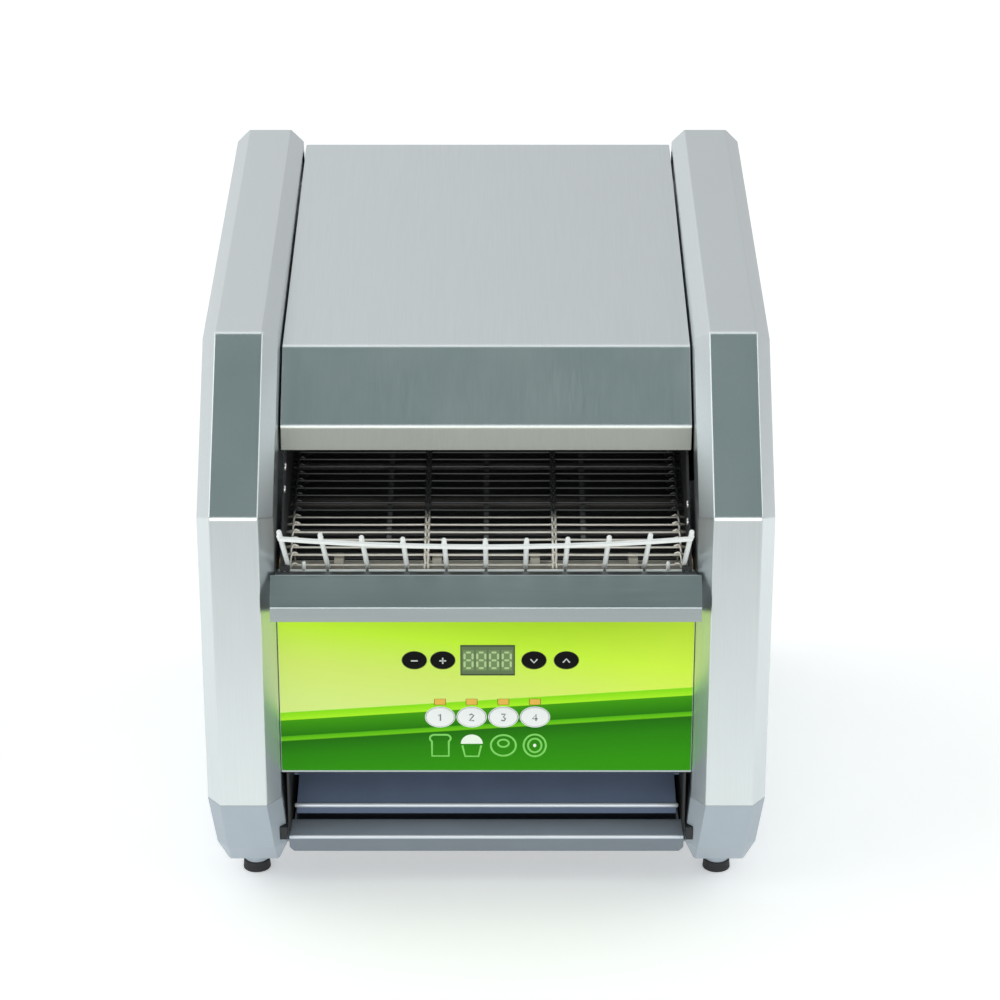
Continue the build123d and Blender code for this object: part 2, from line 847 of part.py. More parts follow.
rollers = chain_places()
with BuildPart() as chain_link:
    with BuildSketch():
        with BuildLine():
            Polyline(*link_plate((0, 0), (chain_pitch, 0), chain_roller_radius), close=True)
        make_face()
    extrude(amount=chain_plate)
with BuildPart() as chain_roller:
    with BuildSketch():
        RegularPolygon(chain_roller_radius, 6)
    extrude(amount=chain_roller_half, both=True)
chain_pieces = []
for place, (here, there) in enumerate(zip(rollers, rollers[1:] + rollers[:1])):
    along = (0, there[0] - here[0], there[1] - here[1])
    inner = chain_roller_half + 0.1 + (place % 2) * (chain_plate + 0.1)
    for x in (chain_x + inner, chain_x - inner - chain_plate):
        side_on = Plane(origin=(x, *here), x_dir=along, z_dir=(1, 0, 0))
        chain_pieces.append(chain_link.part.moved(side_on.location))
    chain_pieces.append(
        chain_roller.part.moved(Plane(origin=(chain_x, *here), z_dir=(1, 0, 0)).location)
    )
save(Compound(children=chain_pieces), "drive_chain")

chain_root = chain_wheel - chain_roller_radius - seat
chain_tip = chain_wheel + 1.6


def chain_sprocket(centre):
    with BuildPart() as sprocket:
        with BuildSketch(Plane.YZ.offset(chain_x)):
            with BuildLine():
                Polyline(
                    *toothed_outline(centre, chain_teeth, chain_root, chain_tip, 0, 0.2, 0.08),
                    close=True,
                )
            make_face()
            with Locations(centre):
                Circle(shaft_radius + running, mode=Mode.SUBTRACT)
        extrude(amount=sprocket_half, both=True)
    return sprocket


save(chain_sprocket((drive_y, drive_z)).part, "shaft_sprocket")
save(chain_sprocket((motor_y, motor_z)).part, "motor_sprocket")

gearbox_x = chain_x + motor_gap
with BuildPart() as motor_shaft:
    with BuildSketch(Plane.YZ.offset(chain_x - 2.5)):
        with Locations((motor_y, motor_z)):
            Circle(shaft_radius)
    extrude(amount=gearbox_x - chain_x + 2.5 + 8)
save(motor_shaft.part, "motor_shaft")

bracket_x = gearbox_x - sheet
bracket_height = gearbox_height + 24
leg_length = bracket_x - chassis_outer
with BuildPart() as motor_bracket:
    with BuildSketch(Plane.YZ.offset(bracket_x)):
        with Locations((motor_y, motor_z - 6)):
            Rectangle(gearbox_width + 8, bracket_height)
        with Locations((motor_y, motor_z)):
            Circle(shaft_radius + 3, mode=Mode.SUBTRACT)
        with Locations((drive_y, drive_z)):
            Circle(chain_tip + 4, mode=Mode.SUBTRACT)
    extrude(amount=sheet)
    for side in (-1, 1):
        with BuildSketch(Plane.XY.offset(motor_z - 6 - bracket_height / 2)):
            leg_y = motor_y + side * (gearbox_width + 8 - sheet) / 2
            with Locations((bracket_x - leg_length / 2, leg_y)):
                Rectangle(leg_length, sheet)
        extrude(amount=bracket_height * 0.6)
save(motor_bracket.part, "motor_bracket")

with BuildPart() as gearmotor:
    with BuildSketch(Plane.YZ.offset(gearbox_x)):
        with Locations((motor_y, motor_z - 10)):
            RectangleRounded(gearbox_width, gearbox_height, 6)
    extrude(amount=gearbox_length)
    with BuildSketch(Plane.YZ.offset(gearbox_x)):
        with Locations((motor_y, motor_z)):
            Circle(shaft_radius + running)
    extrude(amount=8.5, mode=Mode.SUBTRACT)
    with BuildSketch(Plane.YZ.offset(gearbox_x + gearbox_length)):
        with Locations((motor_y, motor_z - 16)):
            Circle(can_radius)
    extrude(amount=can_length)
save(gearmotor.part, "gearmotor")

# heaters and reflectors
heater_end = chassis_outer + 2.0
for name, places in (
    ("upper_heaters", upper_heater_places),
    ("lower_heaters", lower_heater_places),
):
    with BuildPart() as heaters:
        with BuildSketch(Plane.YZ):
            with Locations(*places):
                Circle(heater_radius)
        extrude(amount=heater_end, both=True)
    save(heaters.part, name)

reflector_half = chassis_inner - seat
reflector_ends = (upper_alongs[0] - reflector_overhang, upper_alongs[-1] + 2 * reflector_overhang)
upper_path = [
    belt_point(reflector_ends[0], reflector_height - 8),
    belt_point(reflector_ends[0] + 8, reflector_height),
    belt_point(reflector_ends[1] - 8, reflector_height),
    belt_point(reflector_ends[1], reflector_height - 8),
]
lower_drop = -2 * belt_wheel - 14.0
lower_path = [
    belt_point(belt_wheel + 20, lower_drop + 8),
    belt_point(belt_wheel + 28, lower_drop),
    belt_point(belt_length - 8, lower_drop),
    belt_point(belt_length, lower_drop + 8),
]
for name, path in (("upper_reflector", upper_path), ("lower_reflector", lower_path)):
    with BuildPart() as reflector:
        with BuildSketch(Plane.YZ):
            with BuildLine():
                Polyline(*sheet_profile(path, thin_sheet), close=True)
            make_face()
        extrude(amount=reflector_half, both=True)
    save(reflector.part, name)

# toast path: rear chute, then the ramp down to the front
ramp_front_y = front_y + ramp_inset
ramp_front_z = base_top - ramp_drop
chute_y = chassis_rear - 22.0
chute_radius = 46.0
ramp_tan = tan(radians(ramp_slope))
# the arc leaves the upright part and ends along the ramp
bend = radians(90 - ramp_slope)
arc_forward = chute_radius * (1 - cos(bend))
arc_down = chute_radius * sin(bend)
ramp_rear_y = chute_y - arc_forward
ramp_rear_z = ramp_front_z + (ramp_rear_y - ramp_front_y) * ramp_tan
chute_bend_z = ramp_rear_z + arc_down
chute_top_z = drive_z + belt_wheel + 20
with BuildPart() as rear_chute:
    with BuildSketch(Plane.YZ):
        with BuildLine():
            drop = Line((chute_y, chute_top_z), (chute_y, chute_bend_z))
            curve = JernArc(
                start=drop @ 1, tangent=(0, -1), radius=chute_radius, arc_size=-degrees(bend)
            )
            back = JernArc(
                start=(chute_y + thin_sheet, chute_bend_z),
                tangent=(0, -1),
                radius=chute_radius + thin_sheet,
                arc_size=-degrees(bend),
            )
            Line((chute_y, chute_top_z), (chute_y + thin_sheet, chute_top_z))
            Line((chute_y + thin_sheet, chute_top_z), (chute_y + thin_sheet, chute_bend_z))
            Line(curve @ 1, back @ 1)
        make_face()
    extrude(amount=reflector_half, both=True)
save(rear_chute.part, "rear_chute")

ramp_rear = (ramp_rear_y - seat, ramp_rear_z - seat * ramp_tan)
ramp_path = [
    ramp_rear,
    (ramp_front_y, ramp_front_z),
    (ramp_front_y, ramp_front_z - ramp_lip),
]
with BuildPart() as discharge_ramp:
    with BuildSketch(Plane.YZ):
        with BuildLine():
            Polyline(*sheet_profile(ramp_path, thin_sheet), close=True)
        make_face()
    extrude(amount=reflector_half, both=True)
    for side in (-1, 1):
        with BuildSketch(Plane.YZ.offset(side * reflector_half)):
            with BuildLine():
                Polyline(
                    ramp_rear,
                    (ramp_front_y + ramp_notch_depth, ramp_front_z + ramp_notch_depth * ramp_tan),
                    (
                        ramp_front_y + ramp_notch_depth,
                        ramp_front_z + ramp_notch_depth * ramp_tan + ramp_side_flange,
                    ),
                    (ramp_rear[0], ramp_rear[1] + ramp_side_flange),
                    close=True,
                )
            make_face()
        extrude(amount=-side * thin_sheet)
        with BuildSketch(Plane.XZ.offset(-(ramp_front_y - 1))):
            with Locations((side * (reflector_half - ramp_notch / 2), ramp_front_z)):
                Rectangle(ramp_notch, 40)
        extrude(amount=-ramp_notch_depth, mode=Mode.SUBTRACT)
save(discharge_ramp.part, "discharge_ramp")

# crumb tray
tray_half = chassis_inner - tray_side_gap
handle_half = tray_half + tray_handle_overlap
tray_front_wall = front_y + tray_handle_depth
tray_rear = fan_front - tray_rear_gap
tray_mid_y = (tray_front_wall + tray_rear) / 2
tray_long = tray_rear - tray_front_wall
handle_bottom = tray_top - tray_handle_height
with BuildPart() as crumb_tray:
    with BuildSketch(Plane.XY.offset(tray_bottom)):
        with Locations((0, tray_mid_y)):
            Rectangle(2 * tray_half, tray_long)
    extrude(amount=tray_wall_height)
    with BuildSketch(Plane.XY.offset(tray_bottom + thin_sheet)):
        with Locations((0, tray_mid_y)):
            Rectangle(2 * (tray_half - thin_sheet), tray_long - 2 * thin_sheet)
    extrude(amount=tray_wall_height, mode=Mode.SUBTRACT)
    # the handle is a channel folded forward from the front wall
    with BuildSketch(Plane.YZ):
        with BuildLine():
            Polyline(
                *sheet_profile(
                    [
                        (tray_front_wall + thin_sheet, tray_top),
                        (front_y, tray_top),
                        (front_y, handle_bottom),
                        (front_y + 10, handle_bottom),
                    ],
                    thin_sheet,
                ),
                close=True,
            )
        make_face()
    extrude(amount=handle_half, both=True)
    with BuildSketch(Plane.XZ.offset(-(front_y - 1))):
        for side in (-1, 1):
            Polygon(
                (side * handle_half, handle_bottom),
                (side * (handle_half - tray_corner), handle_bottom),
                (side * handle_half, handle_bottom + tray_corner),
                align=None,
            )
    extrude(amount=-tray_corner * 5, mode=Mode.SUBTRACT)
save(crumb_tray.part, "crumb_tray")

# apron
apron_top_z = shoulder_z - apron_drop
apron_fold_z = apron_top_z - apron_face_drop
apron_bottom_z = apron_fold_z - apron_lip_height
apron_path = [
    (front_y - apron_top_out, apron_top_z),
    (front_y - apron_lip_out, apron_fold_z),
    (front_y - apron_lip_out, apron_bottom_z),
]
apron_back_y = front_y - 0.5
with BuildPart() as apron:
    with BuildSketch(Plane.YZ):
        with BuildLine():
            Polyline(*sheet_profile(apron_path, thin_sheet), close=True)
        make_face()
    extrude(amount=apron_half, both=True)
    # between the columns it folds back: a hem above and a ledge below, on the panel
    with BuildSketch(Plane.YZ):
        with BuildLine():
            Polyline(
                *sheet_profile(
                    [
                        (apron_back_y, apron_top_z - apron_back_depth),
                        (apron_back_y, apron_top_z),
                        (front_y - apron_top_out, apron_top_z),
                    ],
                    thin_sheet,
                ),
                close=True,
            )
        make_face()
        with BuildLine():
            Polyline(
                (front_y - apron_lip_out, apron_bottom_z),
                (chassis_front - seat, apron_bottom_z),
                (chassis_front - seat, apron_bottom_z + thin_sheet),
                (front_y - apron_lip_out, apron_bottom_z + thin_sheet),
                close=True,
            )
        make_face()
    extrude(amount=column_inner - seat, both=True)
save(apron.part, "apron")

# control panel, overlay and keys
panel_face = front_y + panel_inset
panel_top = apron_bottom_z - seat
panel_bottom = base_top + panel_rise
panel_half = column_inner - seat
panel_mid = (panel_top + panel_bottom) / 2
panel_tall = panel_top - panel_bottom
black_key_z = panel_top - black_key_drop
program_key_z = panel_top - program_key_drop
lamp_z = panel_top - lamp_drop
black_spots = [(x, black_key_z) for x in black_key_places]
program_spots = [(x, program_key_z) for x in program_key_places]
lamp_spots = [(x, lamp_z) for x in program_key_places]
display_spot = (display_offset, black_key_z)

with BuildPart() as control_panel:
    with BuildSketch(Plane.XZ.offset(-panel_face)):
        with Locations((0, panel_mid)):
            Rectangle(2 * panel_half, panel_tall)
        with Locations(*black_spots):
            Ellipse(key_width / 2 + key_gap, key_height / 2 + key_gap, mode=Mode.SUBTRACT)
        with Locations(*program_spots):
            Ellipse(
                program_key_width / 2 + key_gap, program_key_height / 2 + key_gap, mode=Mode.SUBTRACT
            )
        with Locations(display_spot):
            Rectangle(display_width, display_height, mode=Mode.SUBTRACT)
        with Locations(*lamp_spots):
            Rectangle(lamp_width, lamp_height, mode=Mode.SUBTRACT)
    extrude(amount=-sheet)
    for level in (panel_bottom + sheet / 2, panel_top - sheet / 2):
        with BuildSketch(Plane.XZ.offset(-panel_face)):
            with Locations((0, level)):
                Rectangle(2 * reflector_half, sheet)
        extrude(amount=-panel_flange)
    for side in (-1, 1):
        with BuildSketch(Plane.XZ.offset(-panel_face)):
            with Locations((side * (panel_half - sheet / 2), panel_mid)):
                Rectangle(sheet, panel_tall)
        extrude(amount=-panel_flange)
save(control_panel.part, "control_panel")

overlay_face = panel_face - overlay_thickness
with BuildPart() as panel_overlay:
    with BuildSketch(Plane.XZ.offset(-overlay_face)):
        with Locations((0, panel_mid + 0.5)):
            Rectangle(2 * panel_half - 0.6, panel_tall - 2)
        with Locations(*black_spots):
            Ellipse(key_width / 2 + key_gap, key_height / 2 + key_gap, mode=Mode.SUBTRACT)
        with Locations(*program_spots):
            Ellipse(
                program_key_width / 2 + key_gap, program_key_height / 2 + key_gap, mode=Mode.SUBTRACT
            )
        with Locations(display_spot):
            Rectangle(display_width, display_height, mode=Mode.SUBTRACT)
        with Locations(*lamp_spots):
            Rectangle(lamp_width, lamp_height, mode=Mode.SUBTRACT)
    extrude(amount=-overlay_thickness)
save(panel_overlay.part, "panel_overlay")

key_back = panel_face + sheet + seat + key_travel
key_face = overlay_face - key_proud


def panel_key(spot, width, height):
    """Oval cap through the panel, with a wider flange behind it that keeps it in."""
    with BuildPart() as key:
        with BuildSketch(Plane.XZ.offset(-key_face)):
            with Locations(spot):
                Ellipse(width / 2, height / 2)
        extrude(amount=-(panel_face + sheet + seat - key_face))
        with BuildSketch(Plane.XZ.offset(-(panel_face + sheet + seat))):
            with Locations(spot):
                Rectangle(width + 1.6, height + 1.6)
        extrude(amount=-key_flange)
    return key


for name, spot in zip(black_key_names, black_spots):
    save(panel_key(spot, key_width, key_height).part, name)
for name, spot in zip(program_key_names, program_spots):
    save(panel_key(spot, program_key_width, program_key_height).part, name)

board_y = panel_face + sheet + board_gap
switch_front = panel_face + sheet + seat + key_flange + key_travel + seat
with BuildPart() as control_board:
    with BuildSketch(Plane.XZ.offset(-board_y)):
        with Locations((0, panel_mid)):
            Rectangle(2 * board_half, panel_tall - 2 * panel_flange)
    extrude(amount=-board_thickness)
    with BuildSketch(Plane.XZ.offset(-switch_front)):
        with Locations(*black_spots, *program_spots):
            Rectangle(6, 6)
    extrude(amount=-(board_y - switch_front))
save(control_board.part, "control_board")

post_spread = panel_tall - 2 * (panel_flange + board_post_inset)
with BuildPart() as board_posts:
    with BuildSketch(Plane.XZ.offset(-(panel_face + sheet))):
        with Locations((0, panel_mid)):
            with GridLocations(2 * (board_half - board_post_inset), post_spread, 2, 2):
                RegularPolygon(3, 6)
    extrude(amount=-board_gap)
save(board_posts.part, "board_posts")

with BuildPart() as display_window:
    with BuildSketch(Plane.XZ.offset(-overlay_face)):
        with Locations(display_spot):
            Rectangle(display_width - 2 * seat, display_height - 2 * seat)
    extrude(amount=-overlay_thickness - sheet)
save(display_window.part, "display_window")

with BuildPart() as display_module:
    with BuildSketch(Plane.XZ.offset(-(panel_face + sheet + seat))):
        with Locations(display_spot):
            Rectangle(display_width - 2, display_height - 2)
    extrude(amount=-(board_gap - seat))
save(display_module.part, "display_module")

with BuildPart() as program_lamps:
    with BuildSketch(Plane.XZ.offset(-overlay_face)):
        with Locations(*lamp_spots):
            Rectangle(lamp_width - 2 * seat, lamp_height - 2 * seat)
    extrude(amount=-(board_y - overlay_face))
save(program_lamps.part, "program_lamps")

# sheet that shields the controls from the belt and the toast path
shield_back = front_y + shield_depth
shield_top = panel_top - sheet - seat
shield_path = [
    (panel_face + panel_flange - 4, shield_top),
    (shield_back, shield_top),
    (shield_back, panel_bottom + shield_knee),
    (front_y + 11.5, panel_bottom + sheet + seat + thin_sheet + 1),
]
with BuildPart() as control_shield:
    with BuildSketch(Plane.YZ):
        with BuildLine():
            Polyline(*sheet_profile(shield_path, -thin_sheet), close=True)
        make_face()
    extrude(amount=reflector_half, both=True)
save(control_shield.part, "control_shield")

# electrical parts in the left column, on the chassis plate
relay_spot = (front_y + relay_setback, base_top + relay_rise)
with BuildPart() as power_relay:
    with BuildSketch(Plane.YZ.offset(-chassis_outer)):
        with Locations(relay_spot):
            Rectangle(*relay_size)
    extrude(amount=-relay_depth)
    with BuildSketch(Plane.YZ.offset(-chassis_outer - relay_depth)):
        with Locations(relay_spot):
            with GridLocations(2 * relay_tab[0], relay_size[1] - 14, 3, 2):
                Rectangle(*relay_tab)
    extrude(amount=-relay_tab_length)
save(power_relay.part, "power_relay")

terminal_spot = (rear_y - terminal_setback, base_top + terminal_rise)
with BuildPart() as terminal_block:
    with BuildSketch(Plane.YZ.offset(-chassis_outer)):
        with Locations(terminal_spot):
            Rectangle(*terminal_size)
    extrude(amount=-terminal_depth)
    with BuildSketch(Plane.YZ.offset(-chassis_outer - terminal_depth)):
        with Locations(terminal_spot):
            with GridLocations(terminal_pitch, 1, 4, 1):
                Rectangle(*terminal_slot)
    extrude(amount=3, mode=Mode.SUBTRACT)
save(terminal_block.part, "terminal_block")

thermostat_spot = belt_point(belt_length / 2, heater_height - thermostat_drop)
with BuildPart() as limit_thermostat:
    with BuildSketch(Plane.YZ.offset(-chassis_outer)):
        with Locations(thermostat_spot):
            Circle(thermostat_radius)
    extrude(amount=-thermostat_depth)
    with BuildSketch(Plane.YZ.offset(-chassis_outer - thermostat_depth)):
        with Locations(thermostat_spot):
            Rectangle(1.5 * thermostat_radius, thermostat_radius / 2)
    extrude(amount=-thermostat_depth)
save(limit_thermostat.part, "limit_thermostat")

# load rack
rack_end = chassis_outer + rack_wire_end
rack_half = belt_half
rack_spacing = 2 * rack_half / (rack_count - 1)
cross_length = rack_length - rack_tip


def rack_point(angle, x):
    """Where the upper cross wire crosses an upright that leans at this angle."""
    lean = radians(angle)
    return Vector(x, rack_y - cross_length * cos(lean), rack_z + cross_length * sin(lean))


cross_mid = rack_point(rack_angle_mid, 0)
cross_end = rack_point(rack_angle_end, rack_half)
cross_start = rack_point(rack_angle_end, -rack_half)
rack_hinge = Vector(0, rack_y, rack_z)

with BuildPart() as rack_wires:
    # the hinge wire with its two pegs, and the bowed wire near the tips
    with BuildSketch(Plane.YZ):
        with Locations((rack_y, rack_z)):
            Circle(rack_wire / 2)
    extrude(amount=rack_end, both=True)
    with BuildSketch(Plane.XY.offset(rack_z)):
        for side in (-1, 1):
            with Locations((side * (rack_half - rack_peg_inset), rack_y)):
                RegularPolygon(rack_wire / 2 - 0.2, 8)
    extrude(amount=rack_peg_height)
    with BuildLine() as bowed:
        bow = ThreePointArc(cross_start, cross_mid, cross_end)
    with BuildSketch(Plane(origin=bow @ 0, z_dir=bow % 0)):
        Circle(rack_wire / 2)
    sweep(path=bow)
save(rack_wires.part, "rack_wires")

with BuildPart() as rack_uprights:
    for place in range(rack_count):
        x = place * rack_spacing - rack_half
        crossing = cross_mid + (cross_end - cross_mid) * (x / rack_half) ** 2
        lean = Vector(0, crossing.Y, crossing.Z) - rack_hinge
        over = Vector(1, 0, 0).cross(lean).normalized() * -rack_lift
        foot = rack_hinge + Vector(x, 0, 0) + over - lean.normalized() * rack_wire / 2
        with BuildSketch(Plane(origin=foot, x_dir=(1, 0, 0), z_dir=lean)):
            Circle(rack_wire / 2)
        extrude(amount=lean.length + rack_tip + rack_wire / 2)
save(rack_uprights.part, "rack_uprights")

# screws
panel_screw_spots = [
    (side * (chassis_inner - 8), z)
    for side in (-1, 1)
    for z in (pan_top + 40, shoulder_z - 40, fold_z - 10)
]
cover_screw_spots = [
    (side * (column_inner + column_width / 2), z)
    for side in (-1, 1)
    for z in (base_top + 25, shoulder_z, fold_z - 10)
]
with BuildPart() as case_screws:
    for face, spots in ((rear_face, panel_screw_spots), (cover_rear, cover_screw_spots)):
        with BuildSketch(Plane.XZ.offset(-face)):
            with Locations(*spots):
                Circle(screw_radius)
        extrude(amount=-screw_head)
save(case_screws.part, "case_screws")
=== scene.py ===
import json
from math import atan2, cos, pi, radians, sin

import bmesh
import bpy
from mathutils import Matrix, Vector

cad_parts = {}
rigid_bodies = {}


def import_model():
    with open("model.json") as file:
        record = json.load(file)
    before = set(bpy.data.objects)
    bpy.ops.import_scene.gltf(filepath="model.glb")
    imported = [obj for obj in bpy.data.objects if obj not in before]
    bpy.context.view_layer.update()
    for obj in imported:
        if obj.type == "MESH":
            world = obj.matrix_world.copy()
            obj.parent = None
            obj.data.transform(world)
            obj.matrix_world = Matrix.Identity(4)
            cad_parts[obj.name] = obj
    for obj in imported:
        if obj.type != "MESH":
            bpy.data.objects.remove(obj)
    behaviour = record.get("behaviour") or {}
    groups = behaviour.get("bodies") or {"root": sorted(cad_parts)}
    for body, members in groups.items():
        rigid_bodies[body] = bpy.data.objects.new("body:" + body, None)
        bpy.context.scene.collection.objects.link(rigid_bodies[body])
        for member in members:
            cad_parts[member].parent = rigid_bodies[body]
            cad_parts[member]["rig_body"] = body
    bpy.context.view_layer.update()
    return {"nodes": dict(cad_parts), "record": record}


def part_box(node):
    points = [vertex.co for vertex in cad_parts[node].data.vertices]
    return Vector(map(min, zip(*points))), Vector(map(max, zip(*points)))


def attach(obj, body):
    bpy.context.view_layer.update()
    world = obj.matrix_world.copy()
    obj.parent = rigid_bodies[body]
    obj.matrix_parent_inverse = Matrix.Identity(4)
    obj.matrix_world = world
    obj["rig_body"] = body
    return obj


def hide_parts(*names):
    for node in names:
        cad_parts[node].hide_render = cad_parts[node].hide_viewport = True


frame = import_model()
nodes = frame["nodes"]
slotOfNode = {part["node"]: part["material_slot"] for part in frame["record"]["subparts"]}
print("frame loaded,", len(nodes), "nodes")


# places read from the frame
def middleOf(node):
    low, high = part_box(node)
    return (low + high) / 2


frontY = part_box("crumb_tray")[0].y  # front plane of the body
noseAxis = middleOf("idler_shaft")
driveAxis = middleOf("drive_shaft")
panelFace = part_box("panel_overlay")[0].y
beltLow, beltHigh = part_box("conveyor_belt")
beltWidth = beltHigh.x - beltLow.x

# camera and light
cameraView = {"lens": 108.0, "tilt": 67.4, "side": 0.009, "back": 1.754, "height": 1.0075}
studio = {
    "skyLow": 0.60,  # sky that the upper faces mirror, right side
    "skyHigh": 0.84,  # and left side
    "skyTurn": (0.1, 0.6),  # where it goes from one to the other
    "skyTint": (0.975, 0.995, 1.0),
    "sideBoost": 1.0,  # soft boxes left and right, above the mirrored part
    "sideSpan": (0.35, 0.75),
    "sideHeight": (0.3, 0.65),
    "topBoost": 1.2,  # and overhead
    "topSpan": (0.95, 0.995),
    "darkColor": (0.145, 0.207, 0.202),  # a dark flag over the camera, seen in the leaning faces
    "darkHeight": 54.0,  # degrees above the horizon
    "darkInner": 0.89,  # cosine of its half angles
    "darkOuter": 0.72,
    "fillPower": 23.0,  # low wide light in front
    "fillSize": (3.0, 1.2),
    "fillPlace": (0.0, -2.75, 0.78),
    "fillAim": (0, 0, 0.15),
    "floorSize": 14,
    "floorColor": (0.97, 0.97, 0.965),
    "floorGlow": 0.30,  # a little light of its own
    "floorFar": 0.38,  # painted shade: share of its color left well in front of the toaster
    "floorFade": (-0.25, -1.0),  # where that shade starts and is full
    "floorReturn": (-2.2, -3.4),  # and where it gives way again
}


def aimAt(lamp, target):
    lamp.rotation_euler = (Vector(target) - lamp.location).to_track_quat("-Z", "Y").to_euler()


def buildCamera():
    cameraData = bpy.data.cameras.new("frontCamera")
    cameraData.lens = cameraView["lens"]
    cameraData.sensor_width = 36.0
    camera = bpy.data.objects.new("frontCamera", cameraData)
    bpy.context.scene.collection.objects.link(camera)
    camera.location = (cameraView["side"], frontY - cameraView["back"], cameraView["height"])
    camera.rotation_euler = (radians(cameraView["tilt"]), 0, 0)
    bpy.context.scene.camera = camera
    bpy.context.scene.view_settings.view_transform = "Standard"


def skyShare(tree, value, low, high, start=0.0, end=1.0):
    # an eased step from start to end while the value goes from low to high
    share = tree.nodes.new("ShaderNodeMapRange")
    share.interpolation_type = "SMOOTHSTEP"
    share.inputs["From Min"].default_value = low
    share.inputs["From Max"].default_value = high
    share.inputs["To Min"].default_value = start
    share.inputs["To Max"].default_value = end
    tree.links.new(value, share.inputs["Value"])
    return share.outputs["Result"]


def joined(tree, how, first, second):
    # two values or numbers through one sum
    node = tree.nodes.new("ShaderNodeMath")
    node.operation = how
    for socket, value in zip(node.inputs, (first, second)):
        if isinstance(value, float):
            socket.default_value = value
        else:
            tree.links.new(value, socket)
    return node.outputs["Value"]


def towards(tree, direction, x, y, z):
    # how far the direction reaches along x, y and z
    facing = tree.nodes.new("ShaderNodeVectorMath")
    facing.operation = "DOT_PRODUCT"
    facing.inputs[1].default_value = (x, y, z)
    tree.links.new(direction, facing.inputs[0])
    return facing.outputs["Value"]


def buildSky():
    world = bpy.data.worlds.new("studioSky")
    bpy.context.scene.world = world
    world.use_nodes = True
    tree = world.node_tree
    tree.nodes.clear()
    direction = tree.nodes.new("ShaderNodeTexCoord").outputs["Generated"]
    side = joined(tree, "ABSOLUTE", towards(tree, direction, 1, 0, 0), 0.0)
    height = towards(tree, direction, 0, 0, 1)
    level = skyShare(
        tree,
        towards(tree, direction, -1, 0, 0.6),
        *studio["skyTurn"],
        studio["skyLow"],
        studio["skyHigh"],
    )
    across = skyShare(tree, side, *studio["sideSpan"])
    raised = skyShare(tree, height, *studio["sideHeight"])
    boxes = joined(tree, "MULTIPLY", across, raised)
    overhead = skyShare(tree, height, *studio["topSpan"], 0.0, studio["topBoost"])
    level = joined(tree, "ADD", level, joined(tree, "MULTIPLY", boxes, studio["sideBoost"]))
    level = joined(tree, "ADD", level, overhead)
    bright = tree.nodes.new("ShaderNodeMix")
    bright.data_type = "RGBA"
    bright.blend_type = "MULTIPLY"
    bright.inputs["Factor"].default_value = 1.0
    bright.inputs["A"].default_value = (*studio["skyTint"], 1)
    tree.links.new(level, bright.inputs["B"])
    lift = radians(studio["darkHeight"])
    flag = skyShare(
        tree, towards(tree, direction, 0, -cos(lift), sin(lift)), studio["darkOuter"], studio["darkInner"]
    )
    mix = tree.nodes.new("ShaderNodeMix")
    mix.data_type = "RGBA"
    mix.inputs["B"].default_value = (*studio["darkColor"], 1)
    tree.links.new(flag, mix.inputs["Factor"])
    tree.links.new(bright.outputs["Result"], mix.inputs["A"])
    sky = tree.nodes.new("ShaderNodeBackground")
    output = tree.nodes.new("ShaderNodeOutputWorld")
    tree.links.new(mix.outputs["Result"], sky.inputs["Color"])
    tree.links.new(sky.outputs["Background"], output.inputs["Surface"])


def buildStudio():
    buildSky()
    fillData = bpy.data.lights.new("frontFill", "AREA")
    fillData.energy = studio["fillPower"]
    fillData.shape = "RECTANGLE"
    fillData.size, fillData.size_y = studio["fillSize"]
    fill = bpy.data.objects.new("frontFill", fillData)
    bpy.context.scene.collection.objects.link(fill)
    fill.location = studio["fillPlace"]
    fill.visible_camera = False
    aimAt(fill, studio["fillAim"])

    bpy.ops.mesh.primitive_grid_add(x_subdivisions=8, y_subdivisions=8, size=studio["floorSize"])
    floor = bpy.context.object
    floor.name = "studioFloor"
    paper = matteFinish("floorPaper", studio["floorColor"], 0.9, 0.01, 40)
    # painted shade on the floor in front of the toaster, which gives way again further out
    shaded(paper, "Y", *reversed(studio["floorFade"]), (studio["floorFar"],) * 3)
    shaded(paper, "Y", *reversed(studio["floorReturn"]), (1 / studio["floorFar"],) * 3)
    paperShader = paper.node_tree.nodes["Principled BSDF"]
    paperColor = paperShader.inputs["Base Color"].links[0].from_socket
    paper.node_tree.links.new(paperColor, paperShader.inputs["Emission Color"])
    paperShader.inputs["Emission Strength"].default_value = studio["floorGlow"]
    floor.data.materials.append(paper)


# finishes
def newFinish(name):
    finish = bpy.data.materials.new(name)
    finish.use_nodes = True
    tree = finish.node_tree
    shader = tree.nodes["Principled BSDF"]
    place = tree.nodes.new("ShaderNodeTexCoord")
    return finish, tree, shader, place


def spread(tree, value, low, high):
    reach = tree.nodes.new("ShaderNodeMapRange")
    reach.inputs["To Min"].default_value = low
    reach.inputs["To Max"].default_value = high
    tree.links.new(value, reach.inputs["Value"])
    return reach.outputs["Result"]


def noiseOn(tree, place, scale, detail=3.0, stretch=(1, 1, 1)):
    mapping = tree.nodes.new("ShaderNodeMapping")
    mapping.inputs["Scale"].default_value = stretch
    noise = tree.nodes.new("ShaderNodeTexNoise")
    noise.inputs["Scale"].default_value = scale
    noise.inputs["Detail"].default_value = detail
    tree.links.new(place.outputs["Object"], mapping.inputs["Vector"])
    tree.links.new(mapping.outputs["Vector"], noise.inputs["Vector"])
    return noise.outputs["Fac"]


def tinted(tree, value, color, swing):
    # the color, darker and lighter by the swing
    ramp = tree.nodes.new("ShaderNodeMix")
    ramp.data_type = "RGBA"
    ramp.inputs["A"].default_value = (*[part * (1 - swing) for part in color], 1)
    ramp.inputs["B"].default_value = (*[min(part * (1 + swing), 1) for part in color], 1)
    tree.links.new(value, ramp.inputs["Factor"])
    return ramp.outputs["Result"]


